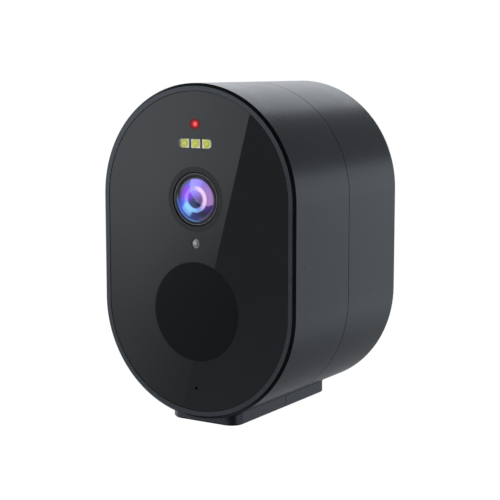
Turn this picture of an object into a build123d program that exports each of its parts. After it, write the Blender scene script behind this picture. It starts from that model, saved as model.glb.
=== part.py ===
from build123d import *
import math
import os

# Battery security camera: an oval two-shell housing on a flat foot, with its optics, boards and cells.
# Millimetres, +Z up, and the lens looks along -Y. The origin lies on the floor below the foot, in the
# plane where the two housings meet. A height is measured from the middle of the oval body, and a level
# from the floor.

# Oval housing
body_width = 64.7
body_height = 95.0
front_depth = 30.7
rear_depth = 30.7
wall = 2.2
back_wall = 2.2
rim_width = 1.3
rim_chamfer = 0.8
rear_edge_radius = 1.5
seam_gap = 0.25
seam_reveal = 0.4
tongue_length = 2.2
tongue_thickness = 1.0
tongue_clearance = 0.1
seal_height = 0.8

# Foot
foot_width = 23.1
foot_front_setback = 3.0
foot_rear_setback = 7.8
foot_drop = 1.8
foot_front_corner_radius = 4.0
foot_rear_corner_radius = 0.8
foot_edge_chamfer = 0.4
foot_root_radius = 0.8

# Front panel and the bulkhead behind it
panel_recess = 0.15
panel_thickness = 1.55
panel_gap = 0.06
panel_edge_chamfer = 0.08
adhesive_thickness = 0.2
adhesive_width = 1.6
bulkhead_thickness = 2.5
insert_fit = 0.05

# Places of the face features, as shares of the body's height above its middle
status_share = 0.381
lamp_share = 0.3237
lens_share = 0.16
pir_share = -0.1758
mic_share = -0.4084

# Place of the light sensor, as a share of the way from the lens ring down to the motion window
light_sensor_share = 0.394

# Housing screws, their columns and the plugs that hide them
column_radius = 3.2
column_wall_gap = 0.3
column_rise = 15.0
screw_seat = 6.0
screw_reach = 6.5
housing_screw_radius = 1.25
housing_screw_head_radius = 2.3
housing_screw_head_height = 1.6
screw_clearance = 0.05
screw_cross_length = 1.2
screw_cross_width = 0.25
plug_radius = 2.5
plug_length = 3.0
plug_recess = 0.2
plug_gap = 0.1

# Small screws of the boards, the lens holder and the cell cradle
small_screw_radius = 0.8
small_screw_head_radius = 1.6
small_screw_head_height = 1.1
small_screw_reach = 5.0
post_radius = 2.4

# Threaded insert for a stand or a wall arm
insert_radius = 4.2
insert_length = 8.0
insert_bore_radius = 2.55
insert_floor = 1.0
insert_groove = 0.4
insert_band = 2.0
boss_wall = 1.6
boss_floor = 1.2
seat_radius = 13.0
seat_depth = 0.6

# Lens
bezel_radius = 9.05
bezel_sleeve_radius = 8.15
bezel_sleeve_reach = 0.5
bezel_lip_chamfer = 0.25
lens_head_radius = 7.25
lens_head_gap = 0.2
lens_head_length = 5.4
lens_setback = 0.2
lens_thread_radius = 6.0
lens_thread_clearance = 0.05
lens_fit = 0.1
retainer_radius = 6.3
retainer_wall = 0.4
front_glass_rise = 0.3
front_glass_sag = 0.7
front_glass_depth = 2.6
inner_bore_radius = 5.2
spacer_length = 1.2
spacer_radius = 3.8
second_glass_sag = 1.3
second_glass_depth = 2.2
stop_radius = 1.4
stop_thickness = 0.6
stop_gap = 1.6
rear_bore_radius = 4.1
rear_glass_depth = 1.9
rear_glass_gap = 0.3

# Main board and what sits on it
board_setback = 8.3
board_thickness = 1.2
board_width = 40.0
board_margin = 1.0
board_corner_radius = 2.0
board_gap = 0.4
board_below_status = 1.2
board_hole_spread = 34.0
board_upper_hole_height = 29.0
board_lower_hole_height = -30.0
image_sensor_width = 8.0
image_sensor_height = 7.0
image_sensor_depth = 0.9
chip_size = 12.0
chip_depth = 1.3
chip_edge = 0.2
chip_gap = 0.8
wifi_width = 16.0
wifi_height = 10.0
wifi_depth = 2.2
wifi_gap = 0.4
antenna_width = 14.0
antenna_height = 2.6
antenna_standoff = 2.6
antenna_strip = 0.4
light_chip_size = 2.0
light_chip_depth = 0.9
lead_plug_width = 6.0
lead_plug_height = 5.0
lead_plug_depth = 4.0
lead_plug_spread = 28.0
battery_plug_height = -12.0

# Lens holder and the filter changer inside it, placed from the lens axis
holder_depth = 5.0
holder_wall = 0.8
holder_width = 25.0
holder_above_axis = 13.5
holder_below_axis = 6.5
holder_tube_wall = 2.0
holder_tube_length = 5.5
holder_light_radius = 4.2
holder_ear_radius = 2.4
holder_ear_spread = 29.0
holder_ear_depth = 3.0
running_gap = 0.3
filter_size = 5.4
filter_depth = 0.5
filter_ledge = 0.4
filter_fit = 0.05
filter_pitch = 6.2
slider_thickness = 1.0
slider_border = 0.9
lug_width = 3.4
lug_top = 6.3
slot_low = 3.2
slot_high = 5.5
slot_clearance = 0.2
rotor_pivot = 10.4
rotor_arm = 6.5
rotor_hub_radius = 1.6
rotor_pin_radius = 0.45
rotor_arm_width = 1.2
rotor_arm_thickness = 1.0
axle_radius = 0.5
axle_clearance = 0.05
coil_width = 5.0
coil_height = 3.4
coil_depth = 3.0
coil_flange = 0.4
coil_offset = 7.6
coil_above_axis = 9.8

# Lamps, status light and light sensor
lamp_window_width = 11.3
lamp_window_height = 2.85
lamp_pitch = 3.7
lamp_width = 3.0
lamp_height_size = 2.8
lamp_depth = 0.8
lamp_cup_radius = 1.2
lamp_cup_depth = 0.35
lamp_air_gap = 0.05
lamp_board_width = 17.0
lamp_board_below = 2.9
lamp_board_above = 2.2
lamp_board_thickness = 1.0
lamp_board_gap = 0.2
status_pipe_radius = 0.75
status_pipe_crown = 0.19
status_led_width = 1.6
status_led_height = 0.8
status_led_depth = 0.6
infrared_led_size = 2.8
infrared_led_offset = 6.2
ribbon_width = 6.0
ribbon_thickness = 0.3
ribbon_gap = 0.3
ribbon_below_status = 3.0
light_pipe_radius = 1.3
light_pipe_crown = 0.25
light_pipe_flange_radius = 1.8
light_pipe_flange = 1.0
light_pipe_gap = 0.1

# Motion sensor
pir_radius = 14.1
pir_skin = 0.8
pir_skirt_wall = 0.9
pir_flange_width = 1.4
pir_flange_depth = 1.0
pir_rings = 8
pir_ring_depth = 0.25
pir_can_radius = 4.55
pir_can_depth = 4.2
pir_can_rim_width = 0.4
pir_can_rim_depth = 0.5
pir_window_width = 4.4
pir_window_height = 3.4
pir_window_depth = 0.4

# Microphone
mic_hole_radius = 0.4
mic_port_radius = 0.6
mic_radius = 3.0
mic_depth = 2.4
mic_boot_wall = 1.0
mic_boot_front = 0.8
mic_fit = 0.05

# Speaker
speaker_radius = 10.0
speaker_flange_width = 1.4
speaker_flange_depth = 1.2
speaker_basket_radius = 6.5
speaker_basket_depth = 3.2
speaker_basket_wall = 0.6
speaker_magnet_radius = 6.0
speaker_magnet_depth = 1.8
speaker_cone_thickness = 0.3
speaker_cone_dip = 1.4
speaker_cap_radius = 2.5
speaker_gasket_thickness = 0.6
speaker_rib_gap = 0.2
speaker_rib_wall = 1.0
speaker_rib_height = 3.0
grille_hole_radius = 0.6
grille_pitch = 2.2
grille_rings = 3
grille_hole_count = 6

# Cells and their cradle
cell_radius = 9.2
cell_length = 65.3
cell_gap = 0.8
cell_clearance = 0.3
cell_cap_radius = 3.2
cell_cap_height = 1.2
cradle_base = 1.6
cradle_end_wall = 1.6
cradle_side_wall = 1.2
cradle_side_share = 0.6
cradle_ear_width = 8.0
cradle_ear_length = 6.0
contact_thickness = 0.25
contact_width = 8.0
contact_seat = 0.05

# Port bay in the foot, with its sockets and buttons
bay_width = 18.0
bay_length = 12.5
bay_behind_board = 3.8
bay_ceiling = 6.8
bay_wall = 1.5
bay_roof = 1.5
port_gap = 0.25
usb_width = 9.0
usb_depth = 3.2
usb_length = 7.4
usb_shell = 0.3
usb_corner_radius = 1.2
usb_tongue_width = 6.6
usb_tongue_depth = 0.7
usb_floor = 1.2
card_socket_width = 14.0
card_socket_depth = 1.9
card_socket_length = 15.0
card_slot_width = 11.2
card_slot_depth = 0.9
card_slot_length = 13.0
button_offset = 7.0
button_radius = 1.2
button_guide_gap = 0.2
button_flange_radius = 1.7
button_flange = 0.6
button_reach = 1.6
button_travel = 0.5
button_rest_gap = 0.15
switch_width = 4.0
switch_depth = 4.0
switch_height = 3.2
switch_nub_radius = 0.6
switch_nub_height = 0.5

# Soft cover of the port bay
cover_recess = 0.3
cover_thickness = 1.6
cover_land = 0.8
cover_gap = 0.3
cover_corner_radius = 1.2
cover_hinge_lead = 1.6
cover_rim_gap = 0.6
cover_rim_wall = 1.2
cover_rim_height = 1.5
anchor_gap = 0.3
anchor_length = 2.0
anchor_edge_chamfer = 0.8
anchor_stud_radius = 0.9
anchor_stud_length = 1.5
anchor_stud_spread = 12.0
anchor_stud_gap = 0.1
scoop_width = 8.0
scoop_length = 1.6
scoop_height = 1.3

# Insulated leads
lead_radius = 0.5
lead_spacing = 1.8
battery_lead_drop = 7.5
battery_lead_bend = 2.5
speaker_lead_bend = 1.5
speaker_lead_out = 4.4
speaker_lead_clear = 1.6
mic_lead_gap = 0.3
mic_lead_bend = 2.0

# Heights of the face features, from the middle of the body
half_height = body_height / 2
centre_z = foot_drop + half_height
status_height = status_share * body_height
lamp_height = lamp_share * body_height
lens_height = lens_share * body_height
pir_height = pir_share * body_height
mic_height = mic_share * body_height
lens_ring_low = lens_height - bezel_radius
pir_window_top = pir_height + pir_radius
light_sensor_height = lens_ring_low - light_sensor_share * (lens_ring_low - pir_window_top)

# Depths of the front stack, counted from the seam
front_y = -front_depth
panel_front = front_y + panel_recess
panel_back = panel_front + panel_thickness
bulkhead_front = panel_back + adhesive_thickness
bulkhead_back = bulkhead_front + bulkhead_thickness
board_back = -board_setback
board_front = board_back - board_thickness
rim_inset = rim_chamfer + rim_width
panel_inset = rim_inset + panel_gap
rebate_depth = tongue_length + seal_height
rebate_inset = wall - tongue_thickness - tongue_clearance

# Depths of the rear stack
back_inner = rear_depth - back_wall
seat_face = rear_depth - seat_depth
insert_front = seat_face - insert_length
boss_front = insert_front - boss_floor
boss_radius = insert_radius + boss_wall
cell_y = boss_front - cell_clearance - cell_radius
cell_x = cell_radius + cell_gap / 2
cradle_back = cell_y - cell_radius - cell_clearance
cradle_front = cradle_back - cradle_base
cradle_inner_end = cell_length / 2 + contact_thickness + 2 * contact_seat
cradle_end = cradle_inner_end + cradle_end_wall
cradle_ear_height = cradle_end + cradle_ear_length / 2
speaker_back = back_inner - speaker_gasket_thickness
speaker_nest = speaker_radius + speaker_rib_gap + speaker_rib_wall
speaker_height = post_radius + speaker_nest - cradle_ear_height

# Places of the columns and posts
column_x = body_width / 2 - wall - column_radius - column_wall_gap
column_places = [(sx * column_x, sz * column_rise) for sx in (-1, 1) for sz in (-1, 1)]
board_hole_places = [
    (side * board_hole_spread / 2, height)
    for side in (-1, 1)
    for height in (board_lower_hole_height, board_upper_hole_height)
]
holder_ear_places = [(side * holder_ear_spread / 2, lens_height) for side in (-1, 1)]
cradle_ear_places = [(0, side * cradle_ear_height) for side in (-1, 1)]

# Lens and holder depths
lens_front = panel_front + lens_setback
lens_apex = lens_front - front_glass_rise
retainer_back = lens_apex + front_glass_sag - insert_fit
front_glass_back = lens_front + front_glass_depth
lens_pocket_radius = retainer_radius + retainer_wall + lens_fit
spacer_back = front_glass_back + spacer_length
second_glass_back = spacer_back + second_glass_depth
stop_front = second_glass_back + stop_gap
stop_back = stop_front + stop_thickness
holder_front = board_front - holder_depth
holder_inner = holder_front + holder_wall
holder_tube_front = holder_front - holder_tube_length
barrel_back = holder_front - lens_fit
slider_front = holder_inner + running_gap
slider_back = slider_front + slider_thickness
arm_front = slider_back + running_gap
arm_back = arm_front + rotor_arm_thickness
rotor_swing = math.degrees(math.asin(filter_pitch / 2 / rotor_arm))

# Lamp board depths and heights
lamp_front = panel_back + lamp_air_gap
lamp_board_front = lamp_front + lamp_depth
lamp_board_back = lamp_board_front + lamp_board_thickness
lamp_board_height = status_height - lamp_height + lamp_board_below + lamp_board_above
lamp_board_middle = lamp_height - lamp_board_below + lamp_board_height / 2
ribbon_height = status_height - ribbon_below_status

# Port bay places, with levels above the floor
bay_back = board_back + bay_behind_board
bay_front = bay_back - bay_length
bay_middle = (bay_front + bay_back) / 2
bay_top = bay_ceiling + bay_roof
board_low = bay_top + board_gap - centre_z
board_high = status_height - board_below_status
antenna_middle = board_high - antenna_height / 2
wifi_middle = board_high - antenna_height - wifi_gap - wifi_height / 2
chip_middle = wifi_middle - wifi_height / 2 - chip_gap - chip_size / 2
cover_high = cover_recess + cover_thickness
cover_end = bay_back + cover_land
cover_width = bay_width + 2 * cover_land
hinge_y = bay_front - cover_hinge_lead
hinge_level = cover_recess + cover_thickness / 2
anchor_back = hinge_y - cover_thickness / 2 - anchor_gap
anchor_front = anchor_back - anchor_length
usb_y = board_back + usb_depth / 2
button_y = board_back + switch_depth / 2
card_y = board_front - card_socket_depth / 2
flange_low = bay_top + button_rest_gap
flange_high = flange_low + button_flange
nub_low = flange_high + button_travel + button_rest_gap
foot_front = front_y + foot_front_setback
foot_back = rear_depth - foot_rear_setback
foot_sag = body_width / 2 - math.sqrt((body_width / 2) ** 2 - (foot_width / 2) ** 2)
foot_top = foot_drop + foot_sag + wall


def outline(inset):
    """Upright oval of the body, drawn in all round by an inset."""
    return SlotOverall(body_height - 2 * inset, body_width - 2 * inset, rotation=90)


def face_at(depth):
    """Upright plane at a depth, with x to the right and heights from the middle of the body."""
    return Plane(origin=(0, depth, centre_z), x_dir=(1, 0, 0), z_dir=(0, -1, 0))


def slab(section, front, back):
    """Solid between two depths with a section drawn on the upright plane."""
    return extrude(face_at(back) * section, back - front)


def pillar(section, low, high):
    """Solid between two levels with a section drawn on the floor."""
    return extrude(Plane.XY.offset(low) * section, high - low)


def disc(x, height, radius):
    return Pos(x, height) * Circle(radius)


def rod(x, height, radius, front, back):
    """Round bar along the depth."""
    return slab(disc(x, height, radius), front, back)


def ring(x, height, outer, inner, front, back):
    """Flat or tubular ring along the depth."""
    return slab(disc(x, height, outer) - disc(x, height, inner), front, back)


def block(x, height, width, tall, front, back):
    """Rectangular bar along the depth."""
    return slab(Pos(x, height) * Rectangle(width, tall), front, back)


def floor_block(x, y, width, length, low, high):
    """Rectangular block between two levels."""
    return pillar(Pos(x, y) * Rectangle(width, length), low, high)


def turned(height, profile):
    """Solid turned about a depth axis, from a closed list of (radius, depth) points."""
    level = centre_z + height
    section = make_face(Polyline(*[(radius, depth, level) for radius, depth in profile], close=True))
    return revolve(section, Axis((0, 0, level), (0, 1, 0)))


def crowned(height, radius, apex, back, sag, sag_radius):
    """Round glass with a spherical front that falls back by the sag at the sag radius."""
    level = centre_z + height
    sphere_radius = (sag_radius ** 2 + sag ** 2) / (2 * sag)
    middle_depth, edge_depth = [
        apex + sphere_radius - math.sqrt(sphere_radius ** 2 - reach ** 2) for reach in (radius / 2, radius)
    ]
    front = ThreePointArc((0, apex, level), (radius / 2, middle_depth, level), (radius, edge_depth, level))
    sides = Polyline((radius, edge_depth, level), (radius, back, level), (0, back, level), (0, apex, level))
    return revolve(make_face(front + sides), Axis((0, 0, level), (0, 1, 0)))


def group(solids):
    """Separate solids that share one node."""
    return Compound(children=list(solids))


def screw(x, height, seat, tip, radius, head_radius, head_height):
    """Cross-head screw along the depth, its head on the far side of the seat from the tip."""
    outward = math.copysign(1, seat - tip)
    head_end = seat + outward * head_height
    recess_floor = head_end - outward * head_height / 2
    shape = rod(x, height, radius, min(seat, tip), max(seat, tip))
    shape += rod(x, height, head_radius, min(seat, head_end), max(seat, head_end))
    slot_width = head_radius * screw_cross_width
    slot_length = head_radius * screw_cross_length
    for width, tall in ((slot_width, slot_length), (slot_length, slot_width)):
        shape -= block(x, height, width, tall, min(recess_floor, head_end), max(recess_floor, head_end))
    return shape


def small_screw(x, height, seat, tip):
    return screw(x, height, seat, tip, small_screw_radius, small_screw_head_radius, small_screw_head_height)


def lead(points, bend):
    """Insulated wire along straight runs joined by arcs."""
    path = FilletPolyline(*points, radius=bend)
    section = Plane(origin=path @ 0, z_dir=path % 0) * Circle(lead_radius)
    return sweep(section, path=path)


def outer_form(foot_corner_radius):
    """Outside of the closed housing: oval body, chamfered rim, rounded back edge and the foot."""
    body = slab(outline(0), front_y, rear_depth)
    body = chamfer(body.faces().sort_by(Axis.Y)[0].edges(), rim_chamfer)
    body = fillet(body.faces().sort_by(Axis.Y)[-1].edges(), rear_edge_radius)
    foot_length = foot_back - foot_front
    foot_plan = RectangleRounded(foot_width, foot_length, foot_corner_radius)
    foot = pillar(Pos(0, foot_front + foot_length / 2) * foot_plan, 0, foot_top)
    foot = chamfer(foot.faces().sort_by(Axis.Z)[0].edges(), foot_edge_chamfer)
    form = body + foot
    return fillet(new_edges(body, foot, combined=form), foot_root_radius)


def half_space(front, back):
    """Everything between two depths."""
    return block(0, 0, 2 * body_width, 2 * body_height, front, back)


def face_holes(front, back, gap):
    """Cutters for the inserts of the face, each a gap larger than its insert."""
    cuts = rod(0, lens_height, bezel_radius + gap, front, back)
    cuts += rod(0, pir_height, pir_radius + gap, front, back)
    cuts += slab(Pos(0, lamp_height) * lamp_pill(gap), front, back)
    cuts += rod(0, status_height, status_pipe_radius + gap, front, back)
    cuts += rod(0, light_sensor_height, light_pipe_radius + gap, front, back)
    return cuts + rod(0, mic_height, mic_hole_radius, front, back)


def lamp_pill(gap):
    """Round-ended outline of the lamp window, widened all round by a gap."""
    return SlotOverall(lamp_window_width + 2 * gap, lamp_window_height + 2 * gap)


def bulkhead_cuts():
    """Openings of the bulkhead for the lens, motion window, lamp board, light pipe and microphone."""
    cuts = rod(0, lens_height, bezel_sleeve_radius + lens_fit, bulkhead_front, bulkhead_back)
    cuts += rod(0, pir_height, pir_radius + insert_fit, bulkhead_front, bulkhead_back)
    pocket_width = lamp_board_width + 2 * lamp_board_gap
    pocket_height = lamp_board_height + 2 * lamp_board_gap
    cuts += block(0, lamp_board_middle, pocket_width, pocket_height, bulkhead_front, lamp_board_back)
    slot_width = ribbon_width + 2 * ribbon_gap
    slot_height = ribbon_thickness + 2 * ribbon_gap
    cuts += block(0, ribbon_height, slot_width, slot_height, lamp_board_back, bulkhead_back)
    cuts += rod(0, light_sensor_height, light_pipe_radius + light_pipe_gap, bulkhead_front, bulkhead_back)
    return cuts + rod(0, mic_height, mic_port_radius, bulkhead_front, bulkhead_back)


def port_bay_cuts():
    """Hollow of the port bay, its cover recess and stud holes, and the ways through its roof."""
    below = -foot_drop
    cuts = floor_block(0, bay_middle, bay_width, bay_length, below, bay_ceiling)
    recess_front = anchor_front - cover_gap
    recess_back = cover_end + cover_gap
    recess_plan = Rectangle(cover_width + 2 * cover_gap, recess_back - recess_front)
    recess_plan = fillet(recess_plan.vertices(), cover_corner_radius + cover_gap)
    recess_middle = (recess_front + recess_back) / 2
    cuts += pillar(Pos(0, recess_middle) * recess_plan, below, cover_high + cover_gap)
    cuts += floor_block(0, recess_back, scoop_width, 2 * scoop_length, below, scoop_height)
    stud_hole_top = cover_high + anchor_stud_length + anchor_stud_gap
    roof_cut = bay_ceiling - bay_roof
    for side in (-1, 1):
        stud_place = Pos(side * anchor_stud_spread / 2, (anchor_front + anchor_back) / 2)
        cuts += pillar(stud_place * Circle(anchor_stud_radius + anchor_stud_gap), below, stud_hole_top)
        guide = Pos(side * button_offset, button_y) * Circle(button_radius + button_guide_gap)
        cuts += pillar(guide, roof_cut, bay_top)
    usb_hole = (usb_width + 2 * port_gap, usb_depth + 2 * port_gap)
    cuts += floor_block(0, usb_y, *usb_hole, roof_cut, bay_top)
    card_hole = (card_slot_width + 2 * port_gap, card_slot_depth + 2 * port_gap)
    return cuts + floor_block(0, card_y, *card_hole, roof_cut, bay_top)


def front_housing(form):
    """Front shell: rim, bulkhead, screw columns, board posts and the port bay in the foot."""
    shell = form & half_space(2 * front_y, -seam_gap / 2)
    shell -= slab(outline(rim_inset), front_y, bulkhead_front)
    shell -= slab(outline(wall), bulkhead_back, 0)
    tub_width = bay_width + 2 * bay_wall
    tub_length = bay_length + 2 * bay_wall
    shell += floor_block(0, bay_middle, tub_width, tub_length, foot_drop, bay_top)
    shell -= slab(outline(rebate_inset), -rebate_depth, 0)
    shell -= port_bay_cuts()
    shell -= bulkhead_cuts()
    for x, height in column_places:
        shell += rod(x, height, column_radius, bulkhead_back, 0)
        shell -= rod(x, height, housing_screw_radius + screw_clearance, -screw_reach - screw_clearance, 0)
    pilot_front = board_front - small_screw_reach
    for x, height in board_hole_places:
        shell += rod(x, height, post_radius, bulkhead_back, board_front)
        shell -= rod(x, height, small_screw_radius + screw_clearance, pilot_front, board_front)
    return shell


def grille_places():
    """Hole centres of the speaker grille, each ring with as many more holes as the one inside it."""
    places = [(0, speaker_height)]
    for ring_number in range(1, grille_rings + 1):
        count = grille_hole_count * ring_number
        for step in range(count):
            angle = 2 * math.pi * step / count
            reach = ring_number * grille_pitch
            places.append((reach * math.cos(angle), speaker_height + reach * math.sin(angle)))
    return places


def seam_land():
    """Step of the rear shell that meets the front one and leaves a shallow groove along the seam."""
    foot_height = (seam_reveal + foot_top) / 2 - centre_z
    foot_section = Rectangle(foot_width - 2 * seam_reveal, foot_top - seam_reveal)
    section = outline(seam_reveal) + Pos(0, foot_height) * foot_section
    return slab(section - outline(wall), -seam_gap / 2, seam_gap)


def rear_housing(form):
    """Rear shell: land, tongue, screw wells, insert boss, cradle posts, speaker rib and grille."""
    shell = form & half_space(seam_gap / 2, 2 * rear_depth)
    shell += seam_land()
    shell -= slab(outline(wall), 0, back_inner)
    shell += slab(outline(wall - tongue_thickness) - outline(wall), -tongue_length, wall)
    shell += rod(0, 0, boss_radius, boss_front, back_inner)
    shell -= rod(0, 0, seat_radius, seat_face, rear_depth)
    shell -= rod(0, 0, insert_radius + insert_fit, insert_front, rear_depth)
    rib_inner = speaker_radius + speaker_rib_gap
    shell += ring(0, speaker_height, rib_inner + speaker_rib_wall, rib_inner,
                  back_inner - speaker_rib_height, back_inner)
    holes = [rod(x, height, grille_hole_radius, back_inner, rear_depth) for x, height in grille_places()]
    shell -= holes
    pilot_back = cradle_back + small_screw_reach
    for x, height in cradle_ear_places:
        shell += rod(x, height, post_radius, cradle_back, back_inner)
        shell -= rod(x, height, small_screw_radius + screw_clearance, cradle_back, pilot_back)
    for x, height in column_places:
        shell += rod(x, height, column_radius, 0, back_inner)
        shell -= rod(x, height, housing_screw_radius + screw_clearance, 0, screw_seat)
        shell -= rod(x, height, plug_radius + plug_gap, screw_seat, rear_depth)
    return shell


def housing_seal():
    """Soft cord seal at the bottom of the rebate, ahead of the tongue."""
    section = outline(rebate_inset + tongue_clearance) - outline(wall)
    return slab(section, -rebate_depth, -tongue_length)


def housing_screws():
    size = (housing_screw_radius, housing_screw_head_radius, housing_screw_head_height)
    return group(screw(x, height, screw_seat, -screw_reach, *size) for x, height in column_places)


def screw_plugs():
    back = rear_depth - plug_recess
    return group(rod(x, height, plug_radius, back - plug_length, back) for x, height in column_places)


def mount_insert():
    """Round threaded insert with a grooved waist and a closed end."""
    front = insert_front
    back = seat_face
    waist = insert_radius - insert_groove
    band = insert_band
    return turned(0, [
        (0, front),
        (insert_radius, front),
        (insert_radius, front + band),
        (waist, front + band + insert_groove),
        (waist, back - band - insert_groove),
        (insert_radius, back - band),
        (insert_radius, back),
        (insert_bore_radius, back),
        (insert_bore_radius, front + insert_floor),
        (0, front + insert_floor),
    ])


def front_panel():
    """Face sheet with a bevelled edge and a hole for each insert."""
    sheet = slab(outline(panel_inset), panel_front, panel_back)
    sheet = chamfer(sheet.faces().sort_by(Axis.Y)[0].edges(), panel_edge_chamfer)
    return sheet - face_holes(panel_front, panel_back, insert_fit)


def panel_adhesive():
    """Thin sticky frame that seals the panel to the bulkhead."""
    outer = panel_inset + panel_edge_chamfer
    return slab(outline(outer) - outline(outer + adhesive_width), panel_back, bulkhead_front)


def lens_bezel():
    """Flush ring round the lens, with a sleeve through the bulkhead and a bright inner lip."""
    inner = lens_head_radius + lens_head_gap
    sleeve_back = bulkhead_back + bezel_sleeve_reach
    return turned(lens_height, [
        (inner + bezel_lip_chamfer, panel_front),
        (bezel_radius, panel_front),
        (bezel_radius, bulkhead_front),
        (bezel_sleeve_radius, bulkhead_front),
        (bezel_sleeve_radius, sleeve_back),
        (inner, sleeve_back),
        (inner, panel_front + bezel_lip_chamfer),
    ])


def lens_barrel():
    """Metal lens tube: wide head, threaded neck and a stepped bore for the glasses."""
    head_back = lens_front + lens_head_length
    return turned(lens_height, [
        (lens_pocket_radius, lens_front),
        (lens_head_radius, lens_front),
        (lens_head_radius, head_back),
        (lens_thread_radius, head_back),
        (lens_thread_radius, barrel_back),
        (rear_bore_radius, barrel_back),
        (rear_bore_radius, stop_back),
        (inner_bore_radius, stop_back),
        (inner_bore_radius, front_glass_back),
        (lens_pocket_radius, front_glass_back),
    ])


def lens_retaining_ring():
    """Thin ring that holds the front glass in the head, sloped towards the glass."""
    outer = retainer_radius + retainer_wall
    return turned(lens_height, [
        (retainer_radius + retainer_wall / 2, lens_front),
        (outer, lens_front),
        (outer, retainer_back),
        (retainer_radius, retainer_back),
    ])


def lens_front_element():
    radius = retainer_radius + retainer_wall
    return crowned(lens_height, radius, lens_apex, front_glass_back, front_glass_sag, retainer_radius)


def lens_spacer():
    """Ring between the two front glasses, its bore widening towards the front."""
    outer = inner_bore_radius - lens_fit
    return turned(lens_height, [
        ((outer + spacer_radius) / 2, front_glass_back),
        (outer, front_glass_back),
        (outer, spacer_back),
        (spacer_radius, spacer_back),
    ])


def lens_second_element():
    radius = inner_bore_radius - lens_fit
    apex = spacer_back - second_glass_sag * (spacer_radius / radius) ** 2 + insert_fit
    return crowned(lens_height, radius, apex, second_glass_back, second_glass_sag, radius)


def lens_aperture_stop():
    return ring(0, lens_height, inner_bore_radius - lens_fit, stop_radius, stop_front, stop_back)


def lens_rear_element():
    back = barrel_back - rear_glass_gap
    radius = rear_bore_radius - lens_fit
    return crowned(lens_height, radius, back - rear_glass_depth, back, rear_glass_depth / 2, radius)


def lens_holder():
    """Plastic lens mount: threaded tube on a box that holds the filter changer, and two screw ears."""
    middle = lens_height + (holder_above_axis - holder_below_axis) / 2
    tall = holder_above_axis + holder_below_axis
    shape = block(0, middle, holder_width, tall, holder_front, board_front)
    ear_front = board_front - holder_ear_depth
    for x, height in holder_ear_places:
        shape += rod(x, height, holder_ear_radius, ear_front, board_front)
        web_x = (x + math.copysign(holder_width / 2, x)) / 2
        web_width = abs(x) - holder_width / 2
        shape += block(web_x, height, web_width, 2 * holder_ear_radius, ear_front, board_front)
    inner_width = holder_width - 2 * holder_wall
    inner_tall = tall - 2 * holder_wall
    shape -= block(0, middle, inner_width, inner_tall, holder_inner, board_front)
    bore = lens_thread_radius + lens_thread_clearance
    shape += ring(0, lens_height, bore + holder_tube_wall, bore, holder_tube_front, holder_front)
    shape -= rod(0, lens_height, holder_light_radius, holder_front, holder_inner)
    shape += rod(0, lens_height + rotor_pivot, axle_radius, holder_inner, board_front - running_gap)
    for x, height in holder_ear_places:
        shape -= rod(x, height, small_screw_radius + screw_clearance, ear_front, board_front)
    return shape


def filter_places():
    """Centres of the two filter windows in the day position: the infrared filter is on the lens axis."""
    return [(0, lens_height), (filter_pitch, lens_height)]


def ir_cut_slider():
    """Flat frame with two filter windows and a slotted lug that the rotor pin drives."""
    window = filter_size + 2 * filter_fit
    width = filter_pitch + window + 2 * slider_border
    tall = window + 2 * slider_border
    middle_x = filter_pitch / 2
    shape = block(middle_x, lens_height, width, tall, slider_front, slider_back)
    lug_middle = lens_height + lug_top / 2
    shape += block(middle_x, lug_middle, lug_width, lug_top, slider_front, slider_back)
    for x, height in filter_places():
        light = window - 2 * filter_ledge
        shape -= block(x, height, window, window, slider_back - filter_depth, slider_back)
        shape -= block(x, height, light, light, slider_front, slider_back)
    slot_height = lens_height + (slot_low + slot_high) / 2
    slot_width = 2 * (rotor_pin_radius + slot_clearance)
    slot = Pos(middle_x, slot_height) * SlotOverall(slot_high - slot_low, slot_width, rotation=90)
    return shape - slab(slot, slider_front, slider_back)


def filter_glass(place):
    x, height = place
    return block(x, height, filter_size, filter_size, slider_back - filter_depth, slider_back)


def ir_cut_rotor():
    """Magnet hub with an arm and a pin, turned towards the day position."""
    pivot_height = lens_height + rotor_pivot
    hub_back = board_front - 2 * running_gap
    arm = block(0, -rotor_arm / 2, rotor_arm_width, rotor_arm, arm_front, arm_back)
    shape = arm + rod(0, 0, rotor_hub_radius, arm_front, hub_back)
    shape += rod(0, -rotor_arm, rotor_arm_width / 2, arm_front, arm_back)
    shape += rod(0, -rotor_arm, rotor_pin_radius, slider_front, arm_front)
    shape -= rod(0, 0, axle_radius + axle_clearance, arm_front, hub_back)
    turned_shape = shape.rotate(Axis((0, 0, centre_z), (0, 1, 0)), -rotor_swing)
    return Pos(0, 0, pivot_height) * turned_shape


def ir_cut_coil():
    """Drive coil on a flanged bobbin, beside the rotor."""
    height = lens_height + coil_above_axis
    back = holder_inner + coil_depth
    shape = block(coil_offset, height, coil_width, coil_height, holder_inner, back)
    for side in (-1, 1):
        x = coil_offset + side * (coil_width - coil_flange) / 2
        shape += block(x, height, coil_flange, coil_height + 2 * coil_flange, holder_inner, back)
    return shape


def image_sensor():
    shape = block(0, lens_height, image_sensor_width, image_sensor_height,
                  board_front - image_sensor_depth, board_front)
    return chamfer(shape.faces().sort_by(Axis.Y)[0].edges(), chip_edge)


def main_board():
    """Circuit board behind the lens, cut to the oval and drilled for its screws."""
    plan = Pos(0, (board_low + board_high) / 2) * Rectangle(board_width, board_high - board_low)
    plan = fillet(plan.vertices(), board_corner_radius)
    sheet = slab(plan & outline(wall + board_margin), board_front, board_back)
    for x, height in board_hole_places + holder_ear_places:
        sheet -= rod(x, height, small_screw_radius + screw_clearance, board_front, board_back)
    return sheet


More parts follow.
